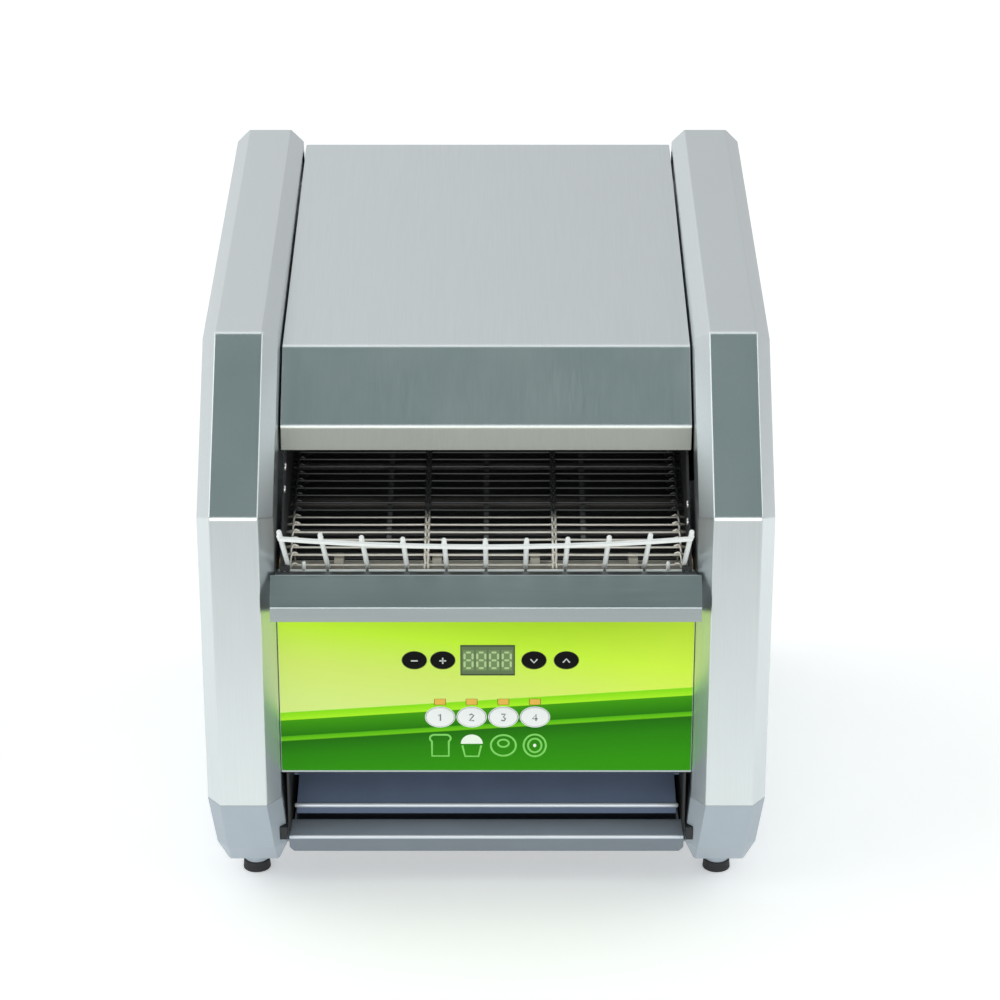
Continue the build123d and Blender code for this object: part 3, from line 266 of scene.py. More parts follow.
def bumped(tree, shader, value, strength, depth):
    bump = tree.nodes.new("ShaderNodeBump")
    bump.inputs["Strength"].default_value = strength
    bump.inputs["Distance"].default_value = depth
    tree.links.new(value, bump.inputs["Height"])
    tree.links.new(bump.outputs["Normal"], shader.inputs["Normal"])


brush = {"cloud": 14.0, "linePolish": 0.05, "bump": 0.12, "depth": 0.0002}


def brushedSteel(name, color, rough, grain, swing=0.05, smear=0.05):
    # fine lines along the grain, broad smears of polish over them
    finish, tree, shader, place = newFinish(name)
    shader.inputs["Metallic"].default_value = 1.0
    lines = noiseOn(tree, place, 1.0, 4.0, grain)
    cloud = noiseOn(tree, place, brush["cloud"])
    tree.links.new(tinted(tree, lines, color, swing), shader.inputs["Base Color"])
    fine = spread(tree, lines, -brush["linePolish"], brush["linePolish"])
    broad = spread(tree, cloud, rough - smear, rough + smear)
    tree.links.new(joined(tree, "ADD", fine, broad), shader.inputs["Roughness"])
    bumped(tree, shader, lines, brush["bump"], brush["depth"])
    return finish


def shaded(finish, axis, low, high, tint):
    # painted shade: the base color multiplied by the tint below the low place, and left alone above the
    # high one
    tree = finish.node_tree
    shader = tree.nodes["Principled BSDF"]
    plain = shader.inputs["Base Color"].links[0].from_socket
    place = next(node for node in tree.nodes if node.type == "TEX_COORD")
    split = tree.nodes.new("ShaderNodeSeparateXYZ")
    tree.links.new(place.outputs["Object"], split.inputs["Vector"])
    mix = tree.nodes.new("ShaderNodeMix")
    mix.data_type = "RGBA"
    mix.blend_type = "MULTIPLY"
    mix.inputs["B"].default_value = (*tint, 1)
    tree.links.new(skyShare(tree, split.outputs[axis], low, high, 1.0, 0.0), mix.inputs["Factor"])
    tree.links.new(plain, mix.inputs["A"])
    tree.links.new(mix.outputs["Result"], shader.inputs["Base Color"])


matte = {"roughSwing": 0.06, "bump": 0.15, "depth": 0.0001}


def matteFinish(name, color, rough, swing=0.06, scale=60.0, metal=0.0):
    # clouded enamel, rubber, plastic or dull sheet
    finish, tree, shader, place = newFinish(name)
    shader.inputs["Metallic"].default_value = metal
    cloud = noiseOn(tree, place, scale, 5.0)
    tree.links.new(tinted(tree, cloud, color, swing), shader.inputs["Base Color"])
    polish = spread(tree, cloud, rough - matte["roughSwing"], min(rough + matte["roughSwing"], 1))
    tree.links.new(polish, shader.inputs["Roughness"])
    bumped(tree, shader, cloud, matte["bump"], matte["depth"])
    return finish


gloss = {"coatRough": 0.08, "cloud": 90.0, "roughSwing": 0.03, "bump": 0.05, "depth": 0.00005}


def glossFinish(name, color, rough, coat=0.0, swing=0.02, glow=0.0, shine=0.5):
    # smooth moulded or printed surfaces, some coated, some with a faint light of their own
    finish, tree, shader, place = newFinish(name)
    shader.inputs["Specular IOR Level"].default_value = shine
    shader.inputs["Coat Weight"].default_value = coat
    shader.inputs["Coat Roughness"].default_value = gloss["coatRough"]
    cloud = noiseOn(tree, place, gloss["cloud"])
    tree.links.new(tinted(tree, cloud, color, swing), shader.inputs["Base Color"])
    polish = spread(tree, cloud, rough - gloss["roughSwing"], rough + gloss["roughSwing"])
    tree.links.new(polish, shader.inputs["Roughness"])
    if glow:
        shader.inputs["Emission Color"].default_value = (*color, 1)
        shader.inputs["Emission Strength"].default_value = glow
    bumped(tree, shader, cloud, gloss["bump"], gloss["depth"])
    return finish


shadowedWireLook = {"metal": 0.7, "blotch": 55.0, "wander": 0.3, "mix": (-0.12, 1.0), "polish": (-0.08, 0.12)}


def wireWithPaintedShadow(name, bright, dark, rough, fromY, toY):
    # drawn wire with a painted shadow: it darkens from fromY back to toY, behind the hood's lip where the
    # hood shades it
    finish, tree, shader, place = newFinish(name)
    shader.inputs["Metallic"].default_value = shadowedWireLook["metal"]
    split = tree.nodes.new("ShaderNodeSeparateXYZ")
    tree.links.new(place.outputs["Object"], split.inputs["Vector"])
    depth = tree.nodes.new("ShaderNodeMapRange")
    depth.inputs["From Min"].default_value = fromY
    depth.inputs["From Max"].default_value = toY
    tree.links.new(split.outputs["Y"], depth.inputs["Value"])
    blotch = noiseOn(tree, place, shadowedWireLook["blotch"], 4.0)
    wander = joined(tree, "MULTIPLY", blotch, shadowedWireLook["wander"])
    shifted = joined(tree, "ADD", wander, depth.outputs["Result"])
    mix = tree.nodes.new("ShaderNodeMix")
    mix.data_type = "RGBA"
    mix.inputs["A"].default_value = (*bright, 1)
    mix.inputs["B"].default_value = (*dark, 1)
    tree.links.new(spread(tree, shifted, *shadowedWireLook["mix"]), mix.inputs["Factor"])
    tree.links.new(mix.outputs["Result"], shader.inputs["Base Color"])
    duller = spread(tree, blotch, rough + shadowedWireLook["polish"][0], rough + shadowedWireLook["polish"][1])
    tree.links.new(duller, shader.inputs["Roughness"])
    return finish


upGrain = (1100, 1100, 18)  # lines that run up the columns
acrossGrain = (14, 1100, 1100)  # lines that run across
runGrain = (1100, 16, 90)  # lines that run front to back

finishes = {
    "stainless": brushedSteel("columnSteel", (0.70, 0.74, 0.75), 0.34, upGrain),
    "hoodSteel": brushedSteel("hoodSteel", (0.70, 0.74, 0.75), 0.35, runGrain),
    "trimSteel": brushedSteel("trimSteel", (0.43, 0.475, 0.485), 0.32, acrossGrain),
    "plated_sheet": brushedSteel("platedSheet", (0.46, 0.48, 0.50), 0.38, runGrain),
    # near-black sheet, and a dark steel for the belt's slide bars and the lower reflector
    "sooted_sheet": matteFinish("sootedSheet", (0.035, 0.036, 0.037), 0.7, 0.3, 30, 0.2),
    "sootedSteel": brushedSteel("sootedSteel", (0.22, 0.22, 0.22), 0.62, (40, 40, 40), 0.1),
    "reflector_sheet": brushedSteel("reflectorSheet", (0.72, 0.72, 0.72), 0.2, acrossGrain),
    "tray_steel": matteFinish("traySteel", (0.56, 0.62, 0.70), 0.42, 0.06, 35, 0.3),
    # painted shade: the ramp under the panel takes a darker, bluer copy of the tray's steel
    "rampSteel": matteFinish("rampSteel", (0.25, 0.32, 0.48), 0.45, 0.12, 35, 0.25),
    "base_metal": matteFinish("greyEnamel", (0.41, 0.46, 0.51), 0.42, 0.05, 70, 0.35),
    "bright_wire": matteFinish("nickelWire", (0.86, 0.88, 0.86), 0.34, 0.04, 200, 0.12),
    "noseSteel": matteFinish("noseSteel", (0.42, 0.39, 0.33), 0.5, 0.25, 90, 0.3),
    # painted highlight: the rolled edges are far lighter than the ramp and tray steel
    "rolledEdge": matteFinish("rolledEdge", (0.74, 0.78, 0.83), 0.3, 0.04, 60, 0.35),
    "weldMark": matteFinish("weldMark", (0.16, 0.17, 0.17), 0.55, 0.3, 400, 0.5),
    # painted shadow of the hood: the belt turns dark 56 to 68 mm behind the front
    "belt_wire": wireWithPaintedShadow(
        "beltWire", (0.92, 0.87, 0.78), (0.09, 0.092, 0.093), 0.42, frontY + 0.056, frontY + 0.068
    ),
    "shaft_steel": brushedSteel("shaftSteel", (0.62, 0.62, 0.63), 0.25, acrossGrain),
    "sprocket_steel": brushedSteel("sprocketSteel", (0.30, 0.30, 0.31), 0.42, (500, 500, 500)),
    "bush_bronze": brushedSteel("bushBronze", (0.62, 0.44, 0.22), 0.36, (600, 600, 600)),
    "screw_steel": brushedSteel("screwSteel", (0.74, 0.74, 0.73), 0.28, (700, 700, 700)),
    "foot_rubber": matteFinish("footRubber", (0.018, 0.018, 0.019), 0.72, 0.2, 220),
    "black_plastic": matteFinish("blackPlastic", (0.013, 0.013, 0.016), 0.5, 0.15, 300),
    "heater_sheath": matteFinish("heaterSheath", (0.12, 0.11, 0.10), 0.55, 0.25, 120, 0.6),
    "thermostat_shell": brushedSteel("thermostatShell", (0.66, 0.66, 0.66), 0.3, (400, 400, 400)),
    "motor_shell": matteFinish("motorShell", (0.07, 0.075, 0.08), 0.45, 0.1, 150, 0.3),
    "black_key": glossFinish("blackKey", (0.003, 0.003, 0.003), 0.42, 0.0, 0.1, 0.0, 0.10),
    "white_key": glossFinish("whiteKey", (0.86, 0.88, 0.86), 0.35, 0.1),
    "display_lens": glossFinish("displayLens", (0.10, 0.165, 0.055), 0.3, 0.2),
    "amber_lens": glossFinish("amberLens", (0.72, 0.42, 0.05), 0.35, 0.0, 0.10, 0.1),
    "circuit_board": glossFinish("circuitBoard", (0.02, 0.12, 0.05), 0.35, 0.2, 0.2),
}
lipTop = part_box("hood")[0].z + 0.0165
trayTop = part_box("crumb_tray")[1].z - 0.0012
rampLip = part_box("discharge_ramp")[0].z + 0.006
paintedTints = {  # painted shade and reflection: the top of each, where it fades about that, and its tint
    "hoodSteel": (lipTop, -0.001, 0.001, (0.66, 0.65, 0.58)),  # painted reflection: the lip is darker and yellower, as it mirrors the warm belt
    "tray_steel": (trayTop, -0.0014, -0.0006, (0.36, 0.37, 0.38)),  # painted shade: these fronts face away
    "rampSteel": (rampLip, -0.0010, -0.0004, (0.45, 0.46, 0.48)),  # from the light
}
for name, (top, start, end, tint) in paintedTints.items():
    shaded(finishes[name], "Z", top + start, top + end, tint)
print("finishes made:", len(finishes))


# meshes
def newPiece(name, mesh, finish, body, slot, *replaced):
    mesh.name = name
    piece = bpy.data.objects.new(name, mesh)
    bpy.context.scene.collection.objects.link(piece)
    mesh.materials.clear()
    mesh.materials.append(finish)
    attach(piece, body)
    if replaced:
        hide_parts(*replaced)
    return piece


def meshOf(shape, name, smooth=True):
    mesh = bpy.data.meshes.new(name)
    bmesh.ops.recalc_face_normals(shape, faces=shape.faces)
    shape.to_mesh(mesh)
    shape.free()
    for face in mesh.polygons:
        face.use_smooth = smooth
    return mesh


def sharpen(mesh, angle):
    # smooth shading that breaks at real edges
    shape = bmesh.new()
    shape.from_mesh(mesh)
    for edge in shape.edges:
        edge.smooth = edge.is_manifold and edge.calc_face_angle(0) < radians(angle)
    shape.to_mesh(mesh)
    shape.free()
    for face in mesh.polygons:
        face.use_smooth = True


rounding = {"widest": 0.003, "flat": 1.0, "smallest": 12, "segments": 3, "sharp": 40.0}


def rounded(node, name, widthOf):
    # the node's own form with its edges rounded, each by its own width
    shape = bmesh.new()
    shape.from_mesh(nodes[node].data)
    bmesh.ops.remove_doubles(shape, verts=shape.verts, dist=2e-6)
    flat = radians(rounding["flat"])
    bmesh.ops.dissolve_limit(shape, angle_limit=flat, verts=shape.verts, edges=shape.edges)
    weights = shape.edges.layers.float.new("bevel_weight_edge")
    for edge in shape.edges:
        if edge.is_manifold:
            turn = edge.calc_face_angle(0)
            along = (edge.verts[1].co - edge.verts[0].co).normalized()
            if turn > radians(rounding["smallest"]):
                edge[weights] = min(widthOf(along, turn) / rounding["widest"], 1)
    mesh = bpy.data.meshes.new(name)
    shape.to_mesh(mesh)
    shape.free()
    blank = bpy.data.objects.new("blank", mesh)
    bpy.context.scene.collection.objects.link(blank)
    bevel = blank.modifiers.new("edges", "BEVEL")
    bevel.limit_method = "WEIGHT"
    bevel.width = rounding["widest"]
    bevel.segments = rounding["segments"]
    bevel.harden_normals = False
    bevel.use_clamp_overlap = True
    ready = evaluated(blank)
    sharpen(ready, rounding["sharp"])
    return flatNormals(ready)


def evaluated(blank):
    # the mesh its modifiers make of it; the blank itself goes
    bpy.context.view_layer.update()
    seen = bpy.context.evaluated_depsgraph_get()
    ready = bpy.data.meshes.new_from_object(blank.evaluated_get(seen))
    bpy.data.objects.remove(blank)
    return ready


def flatNormals(mesh):
    # large faces shade as planes, their rounded edges take all the turn
    blank = bpy.data.objects.new("blank", mesh)
    bpy.context.scene.collection.objects.link(blank)
    weighted = blank.modifiers.new("planes", "WEIGHTED_NORMAL")
    weighted.keep_sharp = True
    weighted.weight = 50
    return evaluated(blank)


wireEnd = {"tip": 0.7, "rise": 0.5, "shoulder": 0.72}  # shares of a wire's radius at its domed ends


def bridged(shape, rings, tip=None):
    # quads from each ring to the next, and triangles from the last one to a tip
    for here, there in zip(rings, rings[1:]):
        for step in range(len(here)):
            following = (step + 1) % len(here)
            shape.faces.new((here[step], here[following], there[following], there[step]))
    if tip is not None:
        for first, second in zip(rings[-1], rings[-1][1:] + rings[-1][:1]):
            shape.faces.new((first, second, tip))


def tube(shape, points, radius, sides):
    # a round wire along the points, with domed ends
    points = [Vector(point) for point in points]
    tangents = []
    for before, after in zip(points[:1] + points[:-1], points[1:] + points[-1:]):
        tangents.append((after - before).normalized())
    side = tangents[0].orthogonal().normalized()
    rings = []
    for point, tangent in zip(points, tangents):
        side = (side - tangent * side.dot(tangent)).normalized()
        other = tangent.cross(side)
        ring = []
        for step in range(sides):
            angle = 2 * pi * step / sides
            ring.append(shape.verts.new(point + (side * cos(angle) + other * sin(angle)) * radius))
        rings.append(ring)
    bridged(shape, rings)
    for place, outward in ((0, -tangents[0]), (-1, tangents[-1])):
        ring, point = rings[place], points[place]
        tip = shape.verts.new(point + outward * radius * wireEnd["tip"])
        inner = []
        for corner in ring:
            spoke = (corner.co - point) * wireEnd["shoulder"]
            inner.append(shape.verts.new(point + spoke + outward * radius * wireEnd["rise"]))
        bridged(shape, [ring, inner], tip)


def curved(points, steps):
    # the corners of a path eased by a spline through its points
    points = [Vector(point) for point in points]
    path = []
    for place in range(len(points) - 1):
        a = points[max(place - 1, 0)]
        b, c = points[place], points[place + 1]
        d = points[min(place + 2, len(points) - 1)]
        for step in range(steps):
            t = step / steps
            square = (2 * a - 5 * b + 4 * c - d) * t ** 2
            cube = (3 * b - a - 3 * c + d) * t ** 3
            path.append(0.5 * ((2 * b) + (c - a) * t + square + cube))
    path.append(points[-1])
    return path


# sheet metal: broad bends across the front, narrow ones down the sides
bends = {"across": 0.0021, "down": 0.0008, "rim": 0.00035, "mould": 0.0016}
rimTurn = radians(70)  # a sharper turn than this is a cut rim


def sheetBends(along, turn):
    if turn > rimTurn:
        return bends["rim"]
    return bends["across"] if abs(along.x) > 0.9 else bends["down"]


def thinBends(along, turn):
    return bends["rim"] if turn > rimTurn else bends["down"]


def mouldBends(along, turn):
    return bends["mould"] if turn < rimTurn else bends["down"]


def buildShell():
    sheets = {
        "left_side_cover": ("leftColumn", "stainless", "stainless", sheetBends),
        "right_side_cover": ("rightColumn", "stainless", "stainless", sheetBends),
        "hood": ("slopedHood", "hoodSteel", "stainless", sheetBends),
        "apron": ("leaningApron", "trimSteel", "stainless", sheetBends),
        "control_panel": ("panelPlate", "trimSteel", "stainless", thinBends),
        "rear_panel": ("rearPlate", "plated_sheet", "stainless", thinBends),
        "left_base_rail": ("leftRail", "base_metal", "base_metal", mouldBends),
        "right_base_rail": ("rightRail", "base_metal", "base_metal", mouldBends),
        "discharge_ramp": ("tiltedRamp", "rampSteel", "tray_steel", sheetBends),
        "crumb_tray": ("pullOutTray", "tray_steel", "tray_steel", thinBends),
        "rubber_feet": ("roundFeet", "foot_rubber", "foot_rubber", mouldBends),
    }
    for node, (name, finish, slot, widthOf) in sheets.items():
        body = nodes[node]["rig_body"]
        newPiece(name, rounded(node, name, widthOf), finishes[finish], body, slot, node)
    print("shell rounded:", len(sheets))


# rolled front edges of the ramp and the tray, in a light finish that paints a highlight along them, and
# the columns' inner returns behind
edging = {
    "rampRoll": 0.0016,
    "trayRoll": 0.0013,
    "inset": 0.0012,
    "endInset": 0.0028,
    "sheet": 0.001,
    "returnLap": 0.012,  # how far the returns run on ahead of the rear panel
    "returnTop": 0.397,
    "coverSheet": 0.0015,
}


def slab(shape, low, high):
    # a plain block between two corners
    made = bmesh.ops.create_cube(shape, size=1.0)
    for corner in made["verts"]:
        for axis in range(3):
            corner.co[axis] = (low[axis] + high[axis]) / 2 + corner.co[axis] * (high[axis] - low[axis])


def buildEdges():
    low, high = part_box("discharge_ramp")
    rolls = {
        "rampRoll": ("discharge_ramp", low.y + edging["inset"], rampLip - 0.0004),
        "trayRoll": ("crumb_tray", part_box("crumb_tray")[0].y + edging["inset"] * 0.8, trayTop + 0.0002),
    }
    for name, (node, y, z) in rolls.items():
        left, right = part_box(node)[0].x + edging["endInset"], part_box(node)[1].x - edging["endInset"]
        shape = bmesh.new()
        tube(shape, [(left + (right - left) * step / 16, y, z) for step in range(17)], edging[name], 12)
        body = nodes[node]["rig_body"]
        newPiece(name, meshOf(shape, name), finishes["rolledEdge"], body, "tray_steel")
    shape = bmesh.new()
    for node, side in (("left_side_cover", 1), ("right_side_cover", -1)):
        low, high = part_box(node)
        edge = high.x if side > 0 else low.x
        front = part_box("rear_panel")[0].y - edging["returnLap"]
        back = high.y - edging["coverSheet"]
        start, end = sorted((edge, edge - side * edging["sheet"]))
        slab(shape, (start, front, low.z), (end, back, edging["returnTop"]))
    mesh = meshOf(shape, "columnReturns", False)
    newPiece("columnReturns", mesh, finishes["stainless"], "housing", "stainless")
    print("edges made")


# belt: one bent wire for each pitch, hooked over the next
belt = {
    "wire": 0.0016,
    "teeth": 10,
    "pitches": 36,
    "lanes": (-0.0385, 0.0443),  # where one lane hands over to the next
    "neck": 0.0009,
    "eye": 0.0012,
    "corner": 0.0012,  # reach of a bend in the wire
    "endTurn": 0.0014,
    "endHook": (0.004, 1.12, 0.2),
    "endBend": (0.0012, 1.1, 1.0),
    "over": 0.95,  # rise of a hook over the wire it holds, in wires
}


def beltPlaces():
    run = Vector((0, driveAxis.y - noseAxis.y, driveAxis.z - noseAxis.z))
    pitch = run.length / belt["pitches"]
    wheel = pitch / (2 * sin(pi / belt["teeth"]))
    tilt = atan2(run.z, run.y)
    nose = Vector((0, noseAxis.y, noseAxis.z))
    up = Vector((0, -sin(tilt), cos(tilt)))
    places = [nose + up * wheel + run * (step / belt["pitches"]) for step in range(belt["pitches"])]
    for centre, first in ((nose + run, pi / 2), (nose, -pi / 2)):
        for step in range(belt["teeth"] // 2):
            angle = first + tilt - step * 2 * pi / belt["teeth"]
            places.append(centre + Vector((0, cos(angle), sin(angle))) * wheel)
        if first > 0:
            for step in range(belt["pitches"]):
                places.append(nose + run * (1 - step / belt["pitches"]) - up * wheel)
    return places, pitch


def buildBelt():
    places, pitch = beltPlaces()
    half = beltWidth / 2 - belt["wire"] / 2
    over = belt["wire"] * belt["over"]
    neck, eye, corner = belt["neck"], belt["eye"], belt["corner"]
    # a strand in plan: across, along to the next strand, and out from the loop
    start = []
    for inset, reach, rise in (belt["endHook"], belt["endBend"]):
        start.append((-half + inset, pitch * reach, rise * over))
    start += [(-half, pitch * 0.6, over * 0.8), (-half, corner, 0), (-half + belt["endTurn"], 0, 0)]
    strand = list(start)
    for x in belt["lanes"]:
        strand += [(x - neck - corner, 0, 0), (x - neck, corner, 0), (x - eye, pitch * 0.75, over)]
        strand += [(x - eye * 0.8, pitch * 1.14, over * 0.6), (x + eye * 0.8, pitch * 1.14, over * 0.6)]
        strand += [(x + eye, pitch * 0.75, over), (x + neck, corner, 0), (x + neck + corner, 0, 0)]
    strand += [(-x, along, out) for x, along, out in reversed(start)]
    shape = bmesh.new()
    for here, there in zip(places, places[1:] + places[:1]):
        along = (there - here).normalized()
        out = Vector((1, 0, 0)).cross(along)
        path = [here + Vector((x, 0, 0)) + along * v + out * w for x, v, w in strand]
        tube(shape, curved(path, 3), belt["wire"] / 2, 6)
    mesh = meshOf(shape, "hookedBelt")
    newPiece("hookedBelt", mesh, finishes["belt_wire"], "housing", "belt_wire", "conveyor_belt")
    print("belt strands:", len(places))


# load rack: welded round wire
rack = {
    "wire": 0.0032,
    "gap": 0.00005,
    "tip": 0.005,  # length of an upright above the cross wire
    "peg": 0.007,
    "nugget": 0.0019,  # radius of the weld behind the cross wire
    "mark": 0.0017,  # and of the dark one on the hinge wire
    "squash": 0.35,
    "dropGrid": (6, 10),  # rows and sides of a drop of weld
    "sides": 12,
}


def looseParts(node):
    # the corners of each separate solid of a node, always in the same order
    shape = bmesh.new()
    shape.from_mesh(nodes[node].data)
    bmesh.ops.remove_doubles(shape, verts=shape.verts, dist=1e-6)
    left, groups = set(shape.verts), []
    while left:
        group, queue = [], [left.pop()]
        while queue:
            corner = queue.pop()
            group.append(corner.co.copy())
            for edge in corner.link_edges:
                other = edge.other_vert(corner)
                if other in left:
                    left.discard(other)
                    queue.append(other)
        groups.append(sorted(group, key=tuple))
    shape.free()
    return sorted(groups, key=lambda group: tuple(group[0]))


def endsOf(corners, reach):
    # the middles of the lowest and the highest ring of an upright
    lowest, highest = min(c.z for c in corners), max(c.z for c in corners)
    low = [corner for corner in corners if corner.z < lowest + reach]
    high = [corner for corner in corners if corner.z > highest - reach]
    return sum(low, Vector()) / len(low), sum(high, Vector()) / len(high)


def blob(shape, centre, radius, along):
    # a drop of weld metal, flattened along one direction
    rows, sides = rack["dropGrid"]

    def cornerAt(row, step):
        across, turn = radius * sin(pi * row / rows), 2 * pi * step / sides
        spoke = Vector((across * sin(turn), across * cos(turn), radius * cos(pi * row / rows)))
        return shape.verts.new(centre + spoke - along * spoke.dot(along) * rack["squash"])

    top, foot = cornerAt(0, 0), cornerAt(rows, 0)
    rings = [[cornerAt(row, step) for step in range(sides)] for row in range(1, rows)]
    bridged(shape, rings[:1], top)
    bridged(shape, rings, foot)


def buildRack():
    radius = rack["wire"] / 2
    uprights = sorted(
        (endsOf(corners, rack["wire"]) for corners in looseParts("rack_uprights")),
        key=lambda ends: ends[0].x,
    )
    low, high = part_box("rack_wires")
    shape, welds = bmesh.new(), bmesh.new()
    hingeY, hingeZ = high.y - radius, low.z + radius
    sideways = Vector((1, 0, 0))
    bowed = []
    for foot, tip in uprights:
        lean = (tip - foot).normalized()
        reach = tip - foot - lean * radius * 0.6
        tube(shape, [foot + reach * (step / 6) for step in range(7)], radius, rack["sides"])
        over = Vector((1, 0, 0)).cross(lean) * -(rack["wire"] + rack["gap"])
        crossing = tip - lean * rack["tip"] - over
        bowed.append(crossing)
        blob(shape, crossing + over / 2, rack["nugget"], lean)
        mark = Vector((foot.x, hingeY - radius * 0.42, hingeZ + radius * 0.2))
        blob(welds, mark, rack["mark"], sideways)
    mesh = meshOf(shape, "rackUprights")
    newPiece("rackUprights", mesh, finishes["bright_wire"], "rack", "bright_wire", "rack_uprights")
    mesh = meshOf(welds, "rackWelds")
    newPiece("rackWelds", mesh, finishes["weldMark"], "rack", "bright_wire")

    shape = bmesh.new()
    tube(shape, curved(bowed, 4), radius, rack["sides"])
    left, right = low.x + radius * wireEnd["tip"], high.x - radius * wireEnd["tip"]
    hinge = [(left + (right - left) * step / 24, hingeY, hingeZ) for step in range(25)]
    tube(shape, hinge, radius, rack["sides"])
    lowest, highest = hingeZ + rack["peg"] * 0.9, hingeZ + rack["peg"] * 1.1
    corners = (corner.co for corner in nodes["rack_wires"].data.vertices)
    pegs = [corner for corner in corners if lowest < corner.z < highest]
    for side in (-1, 1):
        places = [place.x for place in pegs if place.x * side > 0]
        x = (min(places) + max(places)) / 2
        peg = [(x, hingeY, hingeZ + rack["peg"] * share) for share in (0, 0.5, 0.9)]
        tube(shape, peg, radius * 0.85, 10)
    mesh = meshOf(shape, "rackCrossWires")
    newPiece("rackCrossWires", mesh, finishes["bright_wire"], "rack", "bright_wire", "rack_wires")
    print("rack uprights:", len(uprights))


# fasteners: rivets inside the mouth, cross-recess screws behind
fastener = {
    "rivet": 0.0026,
    "rivetRise": 0.0012,
    "slotLong": 0.0021,
    "slotWide": 0.0004,
    "slotDeep": 0.0009,
    "steps": 20,
    "profile": ((1.0, 0.0), (1.0, 0.45), (0.94, 0.72), (0.8, 0.92)),  # shares of radius and rise
    "wallSheet": 0.0015,
}
rivetSpots = {  # places behind the front and above the counter
    "left_chassis_plate": (1, ((0.047, 0.281), (0.036, 0.270))),
    "right_chassis_plate": (-1, ((0.030, 0.262), (0.025, 0.252))),
}


def domedHead(shape, centre, outward, radius, rise, recessed=False):
    # a pan head on a flat seat, with a cross cut into its top
    side = outward.orthogonal().normalized()
    other = outward.cross(side)
    steps = fastener["steps"]

    def ringAt(share, height):
        ring = []
        for step in range(steps):
            angle = 2 * pi * step / steps
            spoke = (side * cos(angle) + other * sin(angle)) * radius * share
            ring.append(shape.verts.new(centre + spoke + outward * rise * height))
        return ring

    rings = [ringAt(share, height) for share, height in fastener["profile"]]
    bridged(shape, rings, None if recessed else shape.verts.new(centre + outward * rise))
    if not recessed:
        return
    long, wide = fastener["slotLong"], fastener["slotWide"]
    arms = []
    for turn in range(4):
        ahead = (side, other, -side, -other)[turn]
        left = (other, -side, -other, side)[turn]
        arms += [ahead * long - left * wide, ahead * long + left * wide, ahead * wide + left * wide]
    level = outward * rise * fastener["profile"][-1][1]
    mouth = [shape.verts.new(centre + arm + level) for arm in arms]
    depth = outward * fastener["slotDeep"]
    base = [shape.verts.new(corner.co - depth) for corner in mouth]
    loops = []
    for ring in (rings[-1], mouth):
        for here, there in zip(ring, ring[1:] + ring[:1]):
            loops.append(shape.edges.get((here, there)) or shape.edges.new((here, there)))
    bmesh.ops.triangle_fill(shape, use_beauty=True, use_dissolve=False, edges=loops)
    bridged(shape, [mouth, base])
    shape.faces.new(base)


def buildFasteners():
    heads = bmesh.new()
    for corners in looseParts("case_screws"):
        middle = sum(corners, Vector()) / len(corners)
        seat, top = min(c.y for c in corners), max(c.y for c in corners)
        radius = (max(c.x for c in corners) - min(c.x for c in corners)) / 2
        centre = Vector((middle.x, seat, middle.z))
        domedHead(heads, centre, Vector((0, 1, 0)), radius, top - seat, True)
    mesh = meshOf(heads, "caseScrewHeads")
    sharpen(mesh, 40)
    steel = finishes["screw_steel"]
    newPiece("caseScrewHeads", mesh, steel, "housing", "screw_steel", "case_screws")
    rivets = bmesh.new()
    for node, (side, places) in rivetSpots.items():
        low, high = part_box(node)
        face = low.x + fastener["wallSheet"] if side > 0 else high.x - fastener["wallSheet"]
        for back, up in places:
            seat = Vector((face, frontY + back, up))
            domedHead(rivets, seat, Vector((side, 0, 0)), fastener["rivet"], fastener["rivetRise"])
    mesh = meshOf(rivets, "mouthRivets")
    sharpen(mesh, 40)
    newPiece("mouthRivets", mesh, steel, "housing", "screw_steel")
    print("fasteners made")


# control panel: printed film, keys, display
panel = {
    "proud": 0.00012,  # how far a print stands out
    "digit": (0.0052, 0.0112),
    "digitPitch": 0.00825,
    "cell": (0.0070, 0.0146),
    "stroke": 0.0014,
    "rimWidth": {"black_key": 0.0003, "white_key": 0.0005},
    "rimGap": 0.0003,
    "markStroke": 0.0009,
    "displayBorder": 0.0013,
    "pictureDrop": 0.0208,  # below the program keys
    "pictureStroke": 0.0013,
    "ink": (0.20, 0.66, 0.10),
}


